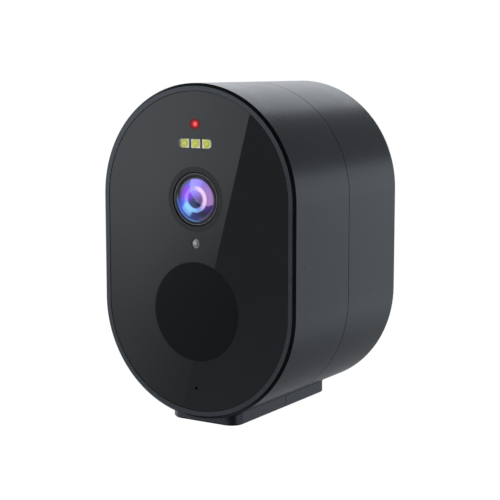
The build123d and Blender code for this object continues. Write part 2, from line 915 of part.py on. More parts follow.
def small_screws():
    """Screws of the main board, the lens holder and the cell cradle."""
    screws = [small_screw(x, height, board_back, board_front - small_screw_reach + screw_clearance)
              for x, height in board_hole_places]
    screws += [small_screw(x, height, board_back, board_front - holder_ear_depth)
               for x, height in holder_ear_places]
    screws += [small_screw(x, height, cradle_front, cradle_back + small_screw_reach - screw_clearance)
               for x, height in cradle_ear_places]
    return group(screws)


def soc_chip():
    shape = block(0, chip_middle, chip_size, chip_size, board_back, board_back + chip_depth)
    return chamfer(shape.faces().sort_by(Axis.Y)[-1].edges(), chip_edge)


def wifi_module():
    """Shielded radio module above the main chip."""
    shape = block(0, wifi_middle, wifi_width, wifi_height, board_back, board_back + wifi_depth)
    return fillet(shape.faces().sort_by(Axis.Y)[-1].edges(), chip_edge)


def wifi_antenna():
    """Bent metal strip antenna on two legs."""
    top = board_back + antenna_standoff
    shape = block(0, antenna_middle, antenna_width, antenna_height, top, top + antenna_strip)
    for side in (-1, 1):
        x = side * (antenna_width - antenna_strip) / 2
        shape += block(x, antenna_middle, antenna_strip, antenna_height, board_back, top)
    return shape


def led_board():
    return block(0, lamp_board_middle, lamp_board_width, lamp_board_height,
                 lamp_board_front, lamp_board_back)


def lamp_places():
    return [(step * lamp_pitch, lamp_height) for step in (-1, 0, 1)]


def white_leds():
    """Lamp packages with a round cup for the phosphor."""
    lamps = []
    for x, height in lamp_places():
        lamp = block(x, height, lamp_width, lamp_height_size, lamp_front, lamp_board_front)
        lamps.append(lamp - rod(x, height, lamp_cup_radius, lamp_front, lamp_front + lamp_cup_depth))
    return group(lamps)


def led_phosphors():
    radius = lamp_cup_radius - insert_fit
    cup_floor = lamp_front + lamp_cup_depth
    return group(rod(x, height, radius, lamp_front, cup_floor) for x, height in lamp_places())


def led_window():
    return slab(Pos(0, lamp_height) * lamp_pill(0), panel_front, panel_back)


def status_led():
    front = lamp_board_front - status_led_depth
    return block(0, status_height, status_led_width, status_led_height, front, lamp_board_front)


def status_light_pipe():
    """Clear pin that carries the status light to the face."""
    back = lamp_board_front - status_led_depth - lamp_air_gap
    return crowned(status_height, status_pipe_radius, panel_front, back,
                   status_pipe_crown, status_pipe_radius)


def ir_leds():
    """Two infrared lamps behind the dark panel, either side of the status light."""
    size = infrared_led_size
    front = lamp_front
    return group(block(side * infrared_led_offset, status_height, size, size, front, lamp_board_front)
                 for side in (-1, 1))


def led_ribbon():
    return block(0, ribbon_height, ribbon_width, ribbon_thickness, lamp_board_back, board_front)


def light_sensor():
    size = light_chip_size
    return block(0, light_sensor_height, size, size, board_front - light_chip_depth, board_front)


def light_sensor_pipe():
    """Clear rod from the face to the light sensor, with a flange behind the bulkhead."""
    back = board_front - light_chip_depth - light_pipe_gap
    shape = crowned(light_sensor_height, light_pipe_radius, panel_front, back,
                    light_pipe_crown, light_pipe_radius)
    flange_back = bulkhead_back + light_pipe_flange
    return shape + rod(0, light_sensor_height, light_pipe_flange_radius, bulkhead_back, flange_back)


def pir_lens():
    """Motion sensor window: flat outside, with Fresnel rings inside, a skirt and a rear flange."""
    inner_radius = pir_radius - pir_skirt_wall
    flange_back = bulkhead_back + pir_flange_depth
    inner_face = panel_front + pir_skin
    profile = [
        (0, panel_front),
        (pir_radius, panel_front),
        (pir_radius, bulkhead_back),
        (pir_radius + pir_flange_width, bulkhead_back),
        (pir_radius + pir_flange_width, flange_back),
        (inner_radius, flange_back),
    ]
    ring_width = inner_radius / pir_rings
    for step in range(pir_rings, 0, -1):
        profile.append((step * ring_width, inner_face))
        profile.append(((step - 1) * ring_width, inner_face + pir_ring_depth))
    return turned(pir_height, profile)


def pir_sensor():
    """Metal can of the motion sensor with a base rim and a pocket for its window."""
    front = board_front - pir_can_depth
    shape = rod(0, pir_height, pir_can_radius, front, board_front)
    rim_radius = pir_can_radius + pir_can_rim_width
    shape += rod(0, pir_height, rim_radius, board_front - pir_can_rim_depth, board_front)
    window_back = front + pir_window_depth
    return shape - block(0, pir_height, pir_window_width, pir_window_height, front, window_back)


def pir_sensor_window():
    front = board_front - pir_can_depth
    width = pir_window_width - 2 * insert_fit
    tall = pir_window_height - 2 * insert_fit
    return block(0, pir_height, width, tall, front, front + pir_window_depth)


def mic_boot():
    """Soft cup that holds the microphone against the bulkhead."""
    outer = mic_radius + mic_fit + mic_boot_wall
    seat = bulkhead_back + mic_boot_front
    shape = rod(0, mic_height, outer, bulkhead_back, seat + mic_depth)
    shape -= rod(0, mic_height, mic_radius + mic_fit, seat, seat + mic_depth)
    return shape - rod(0, mic_height, mic_port_radius, bulkhead_back, seat)


def microphone():
    seat = bulkhead_back + mic_boot_front
    shape = rod(0, mic_height, mic_radius, seat, seat + mic_depth)
    return shape - rod(0, mic_height, mic_port_radius, seat, seat + mic_fit)


def speaker_frame():
    """Round basket with a wide flange and an open middle."""
    back = speaker_back
    flange_inner = speaker_radius - speaker_flange_width
    flange_front = back - speaker_flange_depth
    basket_front = back - speaker_basket_depth
    skin = speaker_basket_wall
    return turned(speaker_height, [
        (speaker_radius, back),
        (speaker_radius, flange_front),
        (flange_inner, flange_front),
        (speaker_basket_radius, basket_front),
        (speaker_basket_radius - 2 * skin, basket_front),
        (speaker_basket_radius - 2 * skin, basket_front + skin),
        (speaker_basket_radius - skin, basket_front + skin),
        (flange_inner - skin, flange_front),
        (flange_inner, flange_front + skin),
        (flange_inner, back),
    ])


def speaker_cone():
    """Thin dished cone with a flat cap."""
    rim_back = speaker_back - speaker_cone_thickness / 2
    rim_front = rim_back - speaker_cone_thickness
    edge = speaker_radius - speaker_flange_width - insert_fit
    dip = speaker_cone_dip
    return turned(speaker_height, [
        (0, rim_front - dip),
        (speaker_cap_radius, rim_front - dip),
        (edge, rim_front),
        (edge, rim_back),
        (speaker_cap_radius, rim_back - dip),
        (0, rim_back - dip),
    ])


def speaker_magnet():
    back = speaker_back - speaker_basket_depth
    return rod(0, speaker_height, speaker_magnet_radius, back - speaker_magnet_depth, back)


def speaker_gasket():
    inner = speaker_radius - speaker_flange_width + insert_fit
    return ring(0, speaker_height, speaker_radius, inner, speaker_back, back_inner)


def battery_cells():
    """Two upright cells with a raised cap at the top."""
    low = centre_z - cell_length / 2
    high = centre_z + cell_length / 2
    cells = []
    for side in (-1, 1):
        place = Pos(side * cell_x, cell_y)
        cell = pillar(place * Circle(cell_radius), low, high - cell_cap_height)
        cells.append(cell + pillar(place * Circle(cell_cap_radius), high - cell_cap_height, high))
    return group(cells)


def battery_cradle():
    """Tray round the cells: base, end walls, low side walls and two screw ears."""
    half_width = cell_x + cell_radius + cell_clearance + cradle_side_wall
    shape = block(0, 0, 2 * half_width, 2 * cradle_end, cradle_front, cradle_back)
    for side in (-1, 1):
        ear_height = side * (cradle_end + cradle_ear_length / 2)
        shape += block(0, ear_height, cradle_ear_width, cradle_ear_length, cradle_front, cradle_back)
        end_height = side * (cradle_end - cradle_end_wall / 2)
        shape += block(0, end_height, 2 * half_width, cradle_end_wall, cradle_back, cell_y)
        side_x = side * (half_width - cradle_side_wall / 2)
        side_back = cradle_back + cradle_side_share * cell_radius
        shape += block(side_x, 0, cradle_side_wall, 2 * cradle_end, cradle_back, side_back)
    for x, height in cradle_ear_places:
        shape -= rod(x, height, small_screw_radius + screw_clearance, cradle_front, cradle_back)
    return shape


def battery_contacts():
    """Spring plates between the cell ends and the end walls of the cradle."""
    height = cell_length / 2 + contact_seat + contact_thickness / 2
    plates = []
    for side_x in (-1, 1):
        for side_z in (-1, 1):
            plates.append(block(side_x * cell_x, side_z * height, contact_width, contact_thickness,
                                cradle_back, cell_y))
    return group(plates)


def lead_plugs():
    """Plugs on the back of the main board for the cells and the speaker."""
    places = [(-lead_plug_spread / 2, battery_plug_height), (lead_plug_spread / 2, speaker_height)]
    back = board_back + lead_plug_depth
    return group(block(x, height, lead_plug_width, lead_plug_height, board_back, back)
                 for x, height in places)


def inner_leads():
    """Pairs of leads from the cells, the speaker and the microphone to the main board."""
    plug_y = board_back + lead_plug_depth / 2
    plug_foot = centre_z + battery_plug_height - lead_plug_height / 2
    drop = plug_foot - battery_lead_drop
    speaker_x = lead_plug_spread / 2 + lead_plug_width / 2
    outer_x = speaker_x + speaker_lead_out
    turn_y = cell_y + cell_radius + speaker_lead_clear
    flange_y = speaker_back - speaker_flange_depth
    flange_x = speaker_radius - speaker_flange_width / 2
    mic_back = bulkhead_back + mic_boot_front + mic_depth
    mic_clear = bay_wall + mic_lead_gap + lead_radius
    mic_turn = bay_front - mic_clear
    mic_side = bay_width / 2 + mic_clear
    leads = []
    for side in (-1, 1):
        offset = side * lead_spacing / 2
        x = -lead_plug_spread / 2 + offset
        leads.append(lead([(x, plug_y, plug_foot), (x, plug_y, drop), (x, cradle_front, drop)],
                          battery_lead_bend))
        z = centre_z + speaker_height + offset
        leads.append(lead([(speaker_x, plug_y, z), (outer_x, plug_y, z), (outer_x, turn_y, z),
                           (flange_x, turn_y, z), (flange_x, flange_y, z)], speaker_lead_bend))
        z = centre_z + mic_height + offset
        leads.append(lead([(0, mic_back, z), (0, mic_turn, z), (mic_side, mic_turn, z),
                           (mic_side, board_front, z)], mic_lead_bend))
    return group(leads)


def usb_port():
    """Metal socket with its mouth in the roof of the bay and a tongue inside."""
    low = bay_ceiling + port_gap
    high = low + usb_length
    place = Pos(0, usb_y)
    shell = pillar(place * RectangleRounded(usb_width, usb_depth, usb_corner_radius), low, high)
    mouth = RectangleRounded(usb_width - 2 * usb_shell, usb_depth - 2 * usb_shell,
                             usb_corner_radius - usb_shell)
    shell -= pillar(place * mouth, low, high - usb_floor)
    return shell + floor_block(0, usb_y, usb_tongue_width, usb_tongue_depth,
                               low + usb_floor, high - usb_floor)


def card_socket():
    """Flat memory card socket on the front of the board, open downwards."""
    low = bay_top + board_gap
    shape = floor_block(0, card_y, card_socket_width, card_socket_depth, low, low + card_socket_length)
    return shape - floor_block(0, card_y, card_slot_width, card_slot_depth, low, low + card_slot_length)


def button_switches():
    """Two push switches above the buttons."""
    switches = []
    for side in (-1, 1):
        place = Pos(side * button_offset, button_y)
        body_low = nub_low + switch_nub_height
        body = pillar(place * Rectangle(switch_width, switch_depth), body_low, body_low + switch_height)
        switches.append(body + pillar(place * Circle(switch_nub_radius), nub_low, body_low))
    return group(switches)


def button(side):
    """Round push button that hangs through the roof of the bay by its flange."""
    place = Pos(side * button_offset, button_y)
    shape = pillar(place * Circle(button_radius), bay_ceiling - button_reach, flange_high)
    return shape + pillar(place * Circle(button_flange_radius), flange_low, flange_high)


def port_cover():
    """Soft flap over the bay: plate with a rounded hinge edge and a plug rim on its inner face."""
    plate_length = cover_end - hinge_y
    plate = floor_block(0, hinge_y + plate_length / 2, cover_width, plate_length, cover_recess, cover_high)
    free_corners = plate.edges().filter_by(Axis.Z).group_by(Axis.Y)[-1]
    plate = fillet(free_corners, cover_corner_radius)
    plate += Pos(0, hinge_y, hinge_level) * Rot(0, 90, 0) * Cylinder(cover_thickness / 2, cover_width)
    rim_width_outer = bay_width - 2 * cover_rim_gap
    rim_length_outer = bay_length - 2 * cover_rim_gap
    rim_outer = Rectangle(rim_width_outer, rim_length_outer)
    rim_inner = Rectangle(rim_width_outer - 2 * cover_rim_wall, rim_length_outer - 2 * cover_rim_wall)
    rim = Pos(0, bay_middle) * (rim_outer - rim_inner)
    return plate + pillar(rim, cover_high, cover_high + cover_rim_height)


def port_cover_anchor():
    """Fixed strip of the cover, held by two studs and bevelled where the opened flap swings past."""
    middle = (anchor_front + anchor_back) / 2
    shape = floor_block(0, middle, cover_width, anchor_length, cover_recess, cover_high)
    front_corners = shape.edges().filter_by(Axis.Z).group_by(Axis.Y)[0]
    shape = fillet(front_corners, cover_corner_radius)
    hinge_side = shape.edges().filter_by(Axis.X).group_by(Axis.Y)[-1]
    shape = chamfer(hinge_side.sort_by(Axis.Z)[0], anchor_edge_chamfer)
    for side in (-1, 1):
        place = Pos(side * anchor_stud_spread / 2, middle)
        shape += pillar(place * Circle(anchor_stud_radius), cover_high, cover_high + anchor_stud_length)
    return shape


day_place, night_place = filter_places()
pieces = {
    "front_housing": front_housing(outer_form(foot_front_corner_radius)),
    "rear_housing": rear_housing(outer_form(foot_rear_corner_radius)),
    "housing_seal": housing_seal(),
    "housing_screws": housing_screws(),
    "screw_plugs": screw_plugs(),
    "mount_insert": mount_insert(),
    "front_panel": front_panel(),
    "panel_adhesive": panel_adhesive(),
    "lens_bezel": lens_bezel(),
    "lens_barrel": lens_barrel(),
    "lens_retaining_ring": lens_retaining_ring(),
    "lens_front_element": lens_front_element(),
    "lens_spacer": lens_spacer(),
    "lens_second_element": lens_second_element(),
    "lens_aperture_stop": lens_aperture_stop(),
    "lens_rear_element": lens_rear_element(),
    "lens_holder": lens_holder(),
    "ir_cut_coil": ir_cut_coil(),
    "ir_cut_rotor": ir_cut_rotor(),
    "ir_cut_slider": ir_cut_slider(),
    "ir_cut_filter": filter_glass(day_place),
    "clear_filter": filter_glass(night_place),
    "image_sensor": image_sensor(),
    "main_board": main_board(),
    "small_screws": small_screws(),
    "soc_chip": soc_chip(),
    "wifi_module": wifi_module(),
    "wifi_antenna": wifi_antenna(),
    "led_board": led_board(),
    "white_leds": white_leds(),
    "led_phosphors": led_phosphors(),
    "led_window": led_window(),
    "status_led": status_led(),
    "status_light_pipe": status_light_pipe(),
    "ir_leds": ir_leds(),
    "led_ribbon": led_ribbon(),
    "light_sensor": light_sensor(),
    "light_sensor_pipe": light_sensor_pipe(),
    "pir_lens": pir_lens(),
    "pir_sensor": pir_sensor(),
    "pir_sensor_window": pir_sensor_window(),
    "mic_boot": mic_boot(),
    "microphone": microphone(),
    "speaker_frame": speaker_frame(),
    "speaker_cone": speaker_cone(),
    "speaker_magnet": speaker_magnet(),
    "speaker_gasket": speaker_gasket(),
    "battery_cells": battery_cells(),
    "battery_cradle": battery_cradle(),
    "battery_contacts": battery_contacts(),
    "lead_plugs": lead_plugs(),
    "inner_leads": inner_leads(),
    "usb_port": usb_port(),
    "card_socket": card_socket(),
    "button_switches": button_switches(),
    "power_button": button(1),
    "reset_button": button(-1),
    "port_cover": port_cover(),
    "port_cover_anchor": port_cover_anchor(),
}

os.makedirs("parts", exist_ok=True)
for name, shape in pieces.items():
    export_step(shape, f"parts/{name}.step")
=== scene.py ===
import math

import bmesh
import bpy
from bpy.props import FloatProperty, FloatVectorProperty, IntProperty, PointerProperty
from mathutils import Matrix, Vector


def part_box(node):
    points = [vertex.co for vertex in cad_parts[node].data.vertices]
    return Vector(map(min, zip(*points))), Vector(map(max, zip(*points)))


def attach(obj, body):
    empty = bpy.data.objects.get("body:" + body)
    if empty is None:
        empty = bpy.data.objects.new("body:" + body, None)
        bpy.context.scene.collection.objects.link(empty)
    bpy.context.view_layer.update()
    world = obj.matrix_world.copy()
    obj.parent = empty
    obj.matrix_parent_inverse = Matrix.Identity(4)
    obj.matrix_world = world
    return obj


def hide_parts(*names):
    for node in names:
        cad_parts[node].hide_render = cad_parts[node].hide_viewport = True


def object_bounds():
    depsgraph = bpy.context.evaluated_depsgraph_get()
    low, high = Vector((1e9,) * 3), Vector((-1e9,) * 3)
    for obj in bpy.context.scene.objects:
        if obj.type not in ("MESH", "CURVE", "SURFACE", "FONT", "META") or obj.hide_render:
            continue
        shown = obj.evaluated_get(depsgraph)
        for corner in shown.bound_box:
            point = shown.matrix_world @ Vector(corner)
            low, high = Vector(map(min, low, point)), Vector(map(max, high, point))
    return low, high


bl_info = {
    "name": "Battery Camera Looks",
    "version": (1, 0, 0),
    "blender": (4, 5, 0),
    "location": "View3D > Sidebar > Battery Camera",
    "description": "Dresses the packed battery camera: housing, face, lens, lamps, mount, ports and inside",
    "category": "Object",
}

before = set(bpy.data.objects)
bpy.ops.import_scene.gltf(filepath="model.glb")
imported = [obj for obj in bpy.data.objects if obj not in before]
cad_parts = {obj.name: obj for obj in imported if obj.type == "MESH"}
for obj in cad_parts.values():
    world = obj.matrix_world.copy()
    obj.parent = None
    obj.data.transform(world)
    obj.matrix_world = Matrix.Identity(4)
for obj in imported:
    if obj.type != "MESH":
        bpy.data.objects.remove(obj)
CAD_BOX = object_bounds()
MM = 0.001
FIXED_BODY = "camera_body"


def middle_of(node):
    """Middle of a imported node's box."""
    low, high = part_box(node)
    return (low + high) / 2


LENS = middle_of("lens_front_element")
STATUS = middle_of("status_light_pipe")
BODY_MIDDLE = middle_of("housing_seal")
BODY_RADIUS = CAD_BOX[1].x
ARC_OFFSET = CAD_BOX[1].z - BODY_RADIUS - BODY_MIDDLE.z
PANEL_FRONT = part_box("front_panel")[0].y
RIM_FRONT = CAD_BOX[0].y


class HousingSettings(bpy.types.PropertyGroup):
    colour: FloatVectorProperty(
        name="Shell colour", description="Colour of the two moulded shells",
        subtype="COLOR", min=0, max=1, default=(0.046, 0.050, 0.057))
    roughness: FloatProperty(
        name="Shell roughness", description="Roughness of the moulded shells",
        subtype="FACTOR", min=0, max=1, default=0.28)
    gloss_tint: FloatVectorProperty(
        name="Gloss tint", description="Cool tint of the shells' gloss",
        subtype="COLOR", min=0, max=1, default=(0.80, 0.89, 1.0))
    # Painted shade: the bevels of the rim and the foot are darkened in colour, standing in for their dark
    # reflections and shadow.
    bevel_shade_colour: FloatVectorProperty(
        name="Bevel colour", description="Colour of the polished dark bevels of the rim and the foot",
        subtype="COLOR", min=0, max=1, default=(0.016, 0.016, 0.018))
    # Painted shade: the groove where the shells meet is darkened in colour, standing in for the shadow of a
    # deeper groove.
    seam_shade_colour: FloatVectorProperty(
        name="Seam colour", description="Colour of the dark groove where the shells meet",
        subtype="COLOR", min=0, max=1, default=(0.003, 0.003, 0.0035))
    grain: FloatProperty(
        name="Grain size", description="Size of the fine moulded texture",
        unit="LENGTH", default=0.35 * MM)
    grain_depth: FloatProperty(
        name="Grain depth", description="Height of the fine moulded texture",
        unit="LENGTH", default=0.0003 * MM)


class FaceSettings(bpy.types.PropertyGroup):
    panel_colour: FloatVectorProperty(
        name="Panel colour", description="Colour of the glossy face sheet",
        subtype="COLOR", min=0, max=1, default=(0.0080, 0.0083, 0.0098))
    window_colour: FloatVectorProperty(
        name="Motion window colour", description="Colour of the round motion sensor window",
        subtype="COLOR", min=0, max=1, default=(0.0066, 0.0068, 0.0080))
    window_roughness: FloatProperty(
        name="Motion window roughness", description="Roughness of the motion sensor window",
        subtype="FACTOR", min=0, max=1, default=0.3)
    # Painted light: the sheet itself emits a red glow round the status light, out to this reach.
    painted_glow_radius: FloatProperty(
        name="Glow radius", description="Reach of the red glow in the sheet round the status light",
        unit="LENGTH", default=2.0 * MM)


class LensSettings(bpy.types.PropertyGroup):
    # Painted reflections, highlights and shade of the studio, laid into the glass over the coating's own blue
    # and violet.
    coating: FloatVectorProperty(
        name="Coating", description="Blue of the coating on the left of the glass",
        subtype="COLOR", min=0, max=1, default=(0.07, 0.13, 1.0))
    shade: FloatVectorProperty(
        name="Shade", description="Dark tone of the glass towards the lower right",
        subtype="COLOR", min=0, max=1, default=(0.030, 0.030, 0.055))
    # Painted reflection: grey of the surroundings that the glass mirrors at the upper left.
    grey_reflection: FloatVectorProperty(
        name="Haze", description="Grey of the glass at the upper left",
        subtype="COLOR", min=0, max=1, default=(0.060, 0.058, 0.090))
    violet: FloatVectorProperty(
        name="Violet", description="Violet of the coating beside the ring",
        subtype="COLOR", min=0, max=1, default=(0.20, 0.025, 0.62))
    highlight: FloatVectorProperty(
        name="Highlight", description="Pale violet of the large round highlight at its top",
        subtype="COLOR", min=0, max=1, default=(0.30, 0.24, 0.86))
    highlight_warm: FloatVectorProperty(
        name="Highlight, warm side", description="Pink of the large round highlight at its right",
        subtype="COLOR", min=0, max=1, default=(0.60, 0.33, 0.84))
    ring: FloatVectorProperty(
        name="Inner ring", description="Colour of the pale ring in the glass",
        subtype="COLOR", min=0, max=1, default=(0.30, 0.30, 1.0))
    ring_warm: FloatVectorProperty(
        name="Inner ring, warm side", description="Colour of the ring inside the highlight",
        subtype="COLOR", min=0, max=1, default=(1.0, 0.74, 1.0))
    # Painted shade: the dark pupil stands in for the dark inside of the lens.
    pupil: FloatVectorProperty(
        name="Pupil", description="Colour of the dark middle of the lens",
        subtype="COLOR", min=0, max=1, default=(0.018, 0.024, 0.070))
    fan: FloatVectorProperty(
        name="Fan", description="Pale blue of the fan and the ring at the lower left",
        subtype="COLOR", min=0, max=1, default=(0.26, 0.57, 0.95))
    ring_inner: FloatProperty(
        name="Ring inner radius", description="Inner radius of the pale ring",
        unit="LENGTH", default=2.5 * MM)
    ring_outer: FloatProperty(
        name="Ring outer radius", description="Outer radius of the pale ring",
        unit="LENGTH", default=3.75 * MM)
    # Painted light: share of the painted colours that the glass emits, though the glass is no lamp.
    glow: FloatProperty(
        name="Gathered light", description="Share of the coating's colour that shines from inside the glass",
        subtype="FACTOR", min=0, max=1, default=0.45)


class LampSettings(bpy.types.PropertyGroup):
    count: IntProperty(name="Lamps", description="Number of white lamps in the window", default=3)
    phosphor: FloatVectorProperty(
        name="Phosphor", description="Colour of the lamp phosphor",
        subtype="COLOR", min=0, max=1, default=(0.70, 0.74, 0.09))
    package: FloatVectorProperty(
        name="Package", description="Colour of the lamp packages",
        subtype="COLOR", min=0, max=1, default=(0.90, 0.91, 0.86))
    status: FloatVectorProperty(
        name="Status light", description="Colour of the lit status light",
        subtype="COLOR", min=0, max=1, default=(1.0, 0.06, 0.07))
    status_strength: FloatProperty(
        name="Status strength", description="Strength of the status light", default=1.0)
    # Painted light: the lamps are unlit, yet their packages and phosphor emit this share of their colours.
    painted_glow_share: FloatProperty(
        name="Gathered light", description="Share of the lamps' colours that shines through the window",
        subtype="FACTOR", min=0, max=1, default=0.3)


class MountSettings(bpy.types.PropertyGroup):
    pitch: FloatProperty(
        name="Thread pitch", description="Pitch of the stand thread", unit="LENGTH", default=1.27 * MM)
    depth: FloatProperty(
        name="Thread depth", description="Depth of the thread grooves in the insert",
        unit="LENGTH", default=0.6 * MM)
    brass: FloatVectorProperty(
        name="Brass", description="Colour of the threaded insert",
        subtype="COLOR", min=0, max=1, default=(0.62, 0.44, 0.16))


class PortSettings(bpy.types.PropertyGroup):
    contacts: IntProperty(
        name="Contacts", description="Contacts on each side of the socket's tongue", default=6)
    rubber: FloatVectorProperty(
        name="Cover rubber", description="Colour of the soft cover and its fixed strip",
        subtype="COLOR", min=0, max=1, default=(0.024, 0.024, 0.026))


class InsideSettings(bpy.types.PropertyGroup):
    board: FloatVectorProperty(
        name="Board", description="Colour of the main board's solder mask",
        subtype="COLOR", min=0, max=1, default=(0.010, 0.110, 0.035))
    wrap: FloatVectorProperty(
        name="Cell wrap", description="Colour of the cells' shrink wrap",
        subtype="COLOR", min=0, max=1, default=(0.05, 0.20, 0.42))


class StageSettings(bpy.types.PropertyGroup):
    camera_place: FloatVectorProperty(
        name="Camera place", description="Where the camera stands",
        subtype="TRANSLATION", unit="LENGTH", default=(0.21414, -0.34225, 0.10208))
    camera_target: FloatVectorProperty(
        name="Camera target", description="The point in the middle of the picture",
        subtype="TRANSLATION", unit="LENGTH", default=(0.01293, -0.02242, 0.05023))
    focal_length: FloatProperty(
        name="Focal length", description="Focal length in millimetres on a 36 mm sensor", default=97.83)
    fill: FloatProperty(name="Fill", description="Level of the even light from all round", default=0.10)
    key_power: FloatProperty(name="Key power", description="Power of the front left softbox", default=5.8)
    top_power: FloatProperty(name="Top power", description="Power of the softbox above the back", default=1.2)
    dark_level: FloatProperty(
        name="Flag level", description="Brightness of the dark flags that the gloss reflects", default=0.29)
    card_level: FloatProperty(
        name="Card level", description="Brightness of the softbox that the face reflects, above the flags",
        default=1.26)


SETTINGS = {
    "camera_housing": HousingSettings,
    "camera_face": FaceSettings,
    "camera_lens": LensSettings,
    "camera_lamps": LampSettings,
    "camera_mount": MountSettings,
    "camera_ports": PortSettings,
    "camera_inside": InsideSettings,
    "camera_stage": StageSettings,
}


class Wire:
    """A node's output. Arithmetic on it adds Math nodes to its tree."""

    def __init__(self, nodes, socket):
        self.nodes = nodes
        self.socket = socket

    def math_node(self, operation, first, second):
        return self.nodes.add("ShaderNodeMath", {"operation": operation}, {0: first, 1: second})

    def __add__(self, other):
        return self.math_node("ADD", self, other)

    def __radd__(self, other):
        return self.math_node("ADD", other, self)

    def __sub__(self, other):
        return self.math_node("SUBTRACT", self, other)

    def __rsub__(self, other):
        return self.math_node("SUBTRACT", other, self)

    def __mul__(self, other):
        return self.math_node("MULTIPLY", self, other)

    def __rmul__(self, other):
        return self.math_node("MULTIPLY", other, self)

    def __truediv__(self, other):
        return self.math_node("DIVIDE", self, other)

    def __pow__(self, other):
        return self.math_node("POWER", self, other)

    def __abs__(self):
        return self.math_node("ABSOLUTE", self, 0.0)

    def at_least(self, other):
        return self.math_node("MAXIMUM", self, other)

    def wrapped(self, length):
        return self.math_node("FLOORED_MODULO", self, length)

    def fade(self, low, high):
        """0 below the low value, 1 above the high one and smooth between."""
        return self.nodes.add(
            "ShaderNodeMapRange", {"interpolation_type": "SMOOTHSTEP"}, {0: self, 1: low, 2: high})

    def drop(self, low, high):
        """1 below the low value, 0 above the high one and smooth between."""
        return 1 - self.fade(low, high)

    def band(self, low, full, fall, high):
        """0 outside the outer two values, 1 between the inner two and smooth elsewhere."""
        return self.fade(low, full) * self.drop(fall, high)

    def wave(self, length):
        """Sine of the value with a given wave length, between 0 and 1."""
        return 0.5 + 0.5 * self.math_node("SINE", self * (2 * math.pi / length), 0.0)


def length_of(first, second):
    """Length of a way made of two parts at right angles."""
    return (first ** 2 + second ** 2) ** 0.5


class Nodes:
    """A node tree that is filled through one method."""

    def __init__(self, tree):
        self.tree = tree

    def add(self, kind, settings=None, sockets=None, output=0):
        node = self.tree.nodes.new(kind)
        for name, value in (settings or {}).items():
            setattr(node, name, value)
        for key, value in (sockets or {}).items():
            if isinstance(value, Wire):
                self.tree.links.new(value.socket, node.inputs[key])
            else:
                node.inputs[key].default_value = value
        return Wire(self, node.outputs[output]) if len(node.outputs) else node

    def place(self):
        """Object coordinates as three values."""
        point = self.add("ShaderNodeTexCoord", output="Object")
        return [self.add("ShaderNodeSeparateXYZ", sockets={0: point}, output=axis) for axis in range(3)]

    def stretched(self, scale):
        """Object coordinates times a scale along each axis."""
        point = self.add("ShaderNodeTexCoord", output="Object")
        return self.add("ShaderNodeMapping", sockets={"Vector": point, "Scale": scale})

    def noise(self, size, detail=2.0, stretch=(1, 1, 1)):
        """Even noise of a given feature size in metres."""
        return self.add("ShaderNodeTexNoise", sockets={
            "Vector": self.stretched(stretch), "Scale": 1 / size, "Detail": detail})

    def mix(self, factor, first, second):
        """Mix of two colours."""
        colours = [value if isinstance(value, Wire) else (*value, 1)[:4] for value in (first, second)]
        return self.add("ShaderNodeMix", {"data_type": "RGBA"},
                        {0: factor, 6: colours[0], 7: colours[1]}, output=2)

    def distance_from(self, x, height, squeeze=1.0):
        """Distance from an axis along the depth, with the way across squeezed by a share."""
        across, _, level = self.place()
        return length_of((across - x) * squeeze, level - height)

    def seen(self):
        """1 for rays from the camera and for reflected and passing rays, and 0 for scattered light."""
        camera = self.add("ShaderNodeLightPath", output="Is Camera Ray")
        glossy = self.add("ShaderNodeLightPath", output="Is Glossy Ray")
        passing = self.add("ShaderNodeLightPath", output="Is Transmission Ray")
        return camera.at_least(glossy).at_least(passing)


class Finish(Nodes):
    """A material round one Principled shader, whose even values are set on its own sockets."""

    def __init__(self, name, **even):
        self.material = bpy.data.materials.new(name)
        self.material.use_nodes = True
        super().__init__(self.material.node_tree)
        self.shader = self.tree.nodes["Principled BSDF"]
        for socket, value in even.items():
            self.shader.inputs[socket.replace("_", " ")].default_value = value

    def feed(self, socket, wire):
        self.tree.links.new(wire.socket, self.shader.inputs[socket])

    def bump(self, pattern, height):
        """Raised pattern of a given height in metres."""
        self.feed("Normal", self.add("ShaderNodeBump", sockets={"Distance": height, "Height": pattern}))

    def mottle(self, colour, spread, size):
        """Base colour that drifts lighter and darker by a share over patches of a size."""
        self.feed("Base Color", self.mottled(colour, spread, size))

    def mottled(self, colour, spread, size):
        dark = [channel * (1 - spread) for channel in colour]
        light = [min(1, channel * (1 + spread)) for channel in colour]
        return self.mix(self.noise(size).fade(0.3, 0.7), dark, light)

    def worn(self, level, spread, size):
        """Roughness that drifts round a level over patches of a size."""
        self.feed("Roughness", level - spread + 2 * spread * self.noise(size, detail=3.0))


def dress(finish, *names):
    """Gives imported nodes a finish."""
    for name in names:
        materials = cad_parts[name].data.materials
        materials.clear()
        materials.append(finish.material)


def moulded(name, colour, roughness, grain=0.3 * MM, depth=0.006 * MM):
    """Moulded plastic with a fine grain and slightly uneven gloss."""
    finish = Finish(name)
    finish.mottle(colour, spread=0.08, size=6 * MM)
    finish.worn(roughness, spread=0.05, size=3 * MM)
    finish.bump(finish.noise(grain), depth)
    return finish


def rubbed(name, colour, roughness=0.75):
    """Soft rubber with a dusty sheen."""
    finish = moulded(name, colour, roughness, grain=0.18 * MM, depth=0.008 * MM)
    finish.shader.inputs["Sheen Weight"].default_value = 0.15
    return finish


def brushed(name, colour, roughness, stretch=(1, 1, 0.05)):
    """Sheet metal with fine lines along one way."""
    finish = Finish(name, Metallic=1.0)
    finish.mottle(colour, spread=0.10, size=2 * MM)
    lines = finish.noise(0.12 * MM, detail=2.0, stretch=stretch)
    finish.feed("Roughness", roughness - 0.06 + 0.12 * lines)
    finish.bump(lines, 0.002 * MM)
    return finish


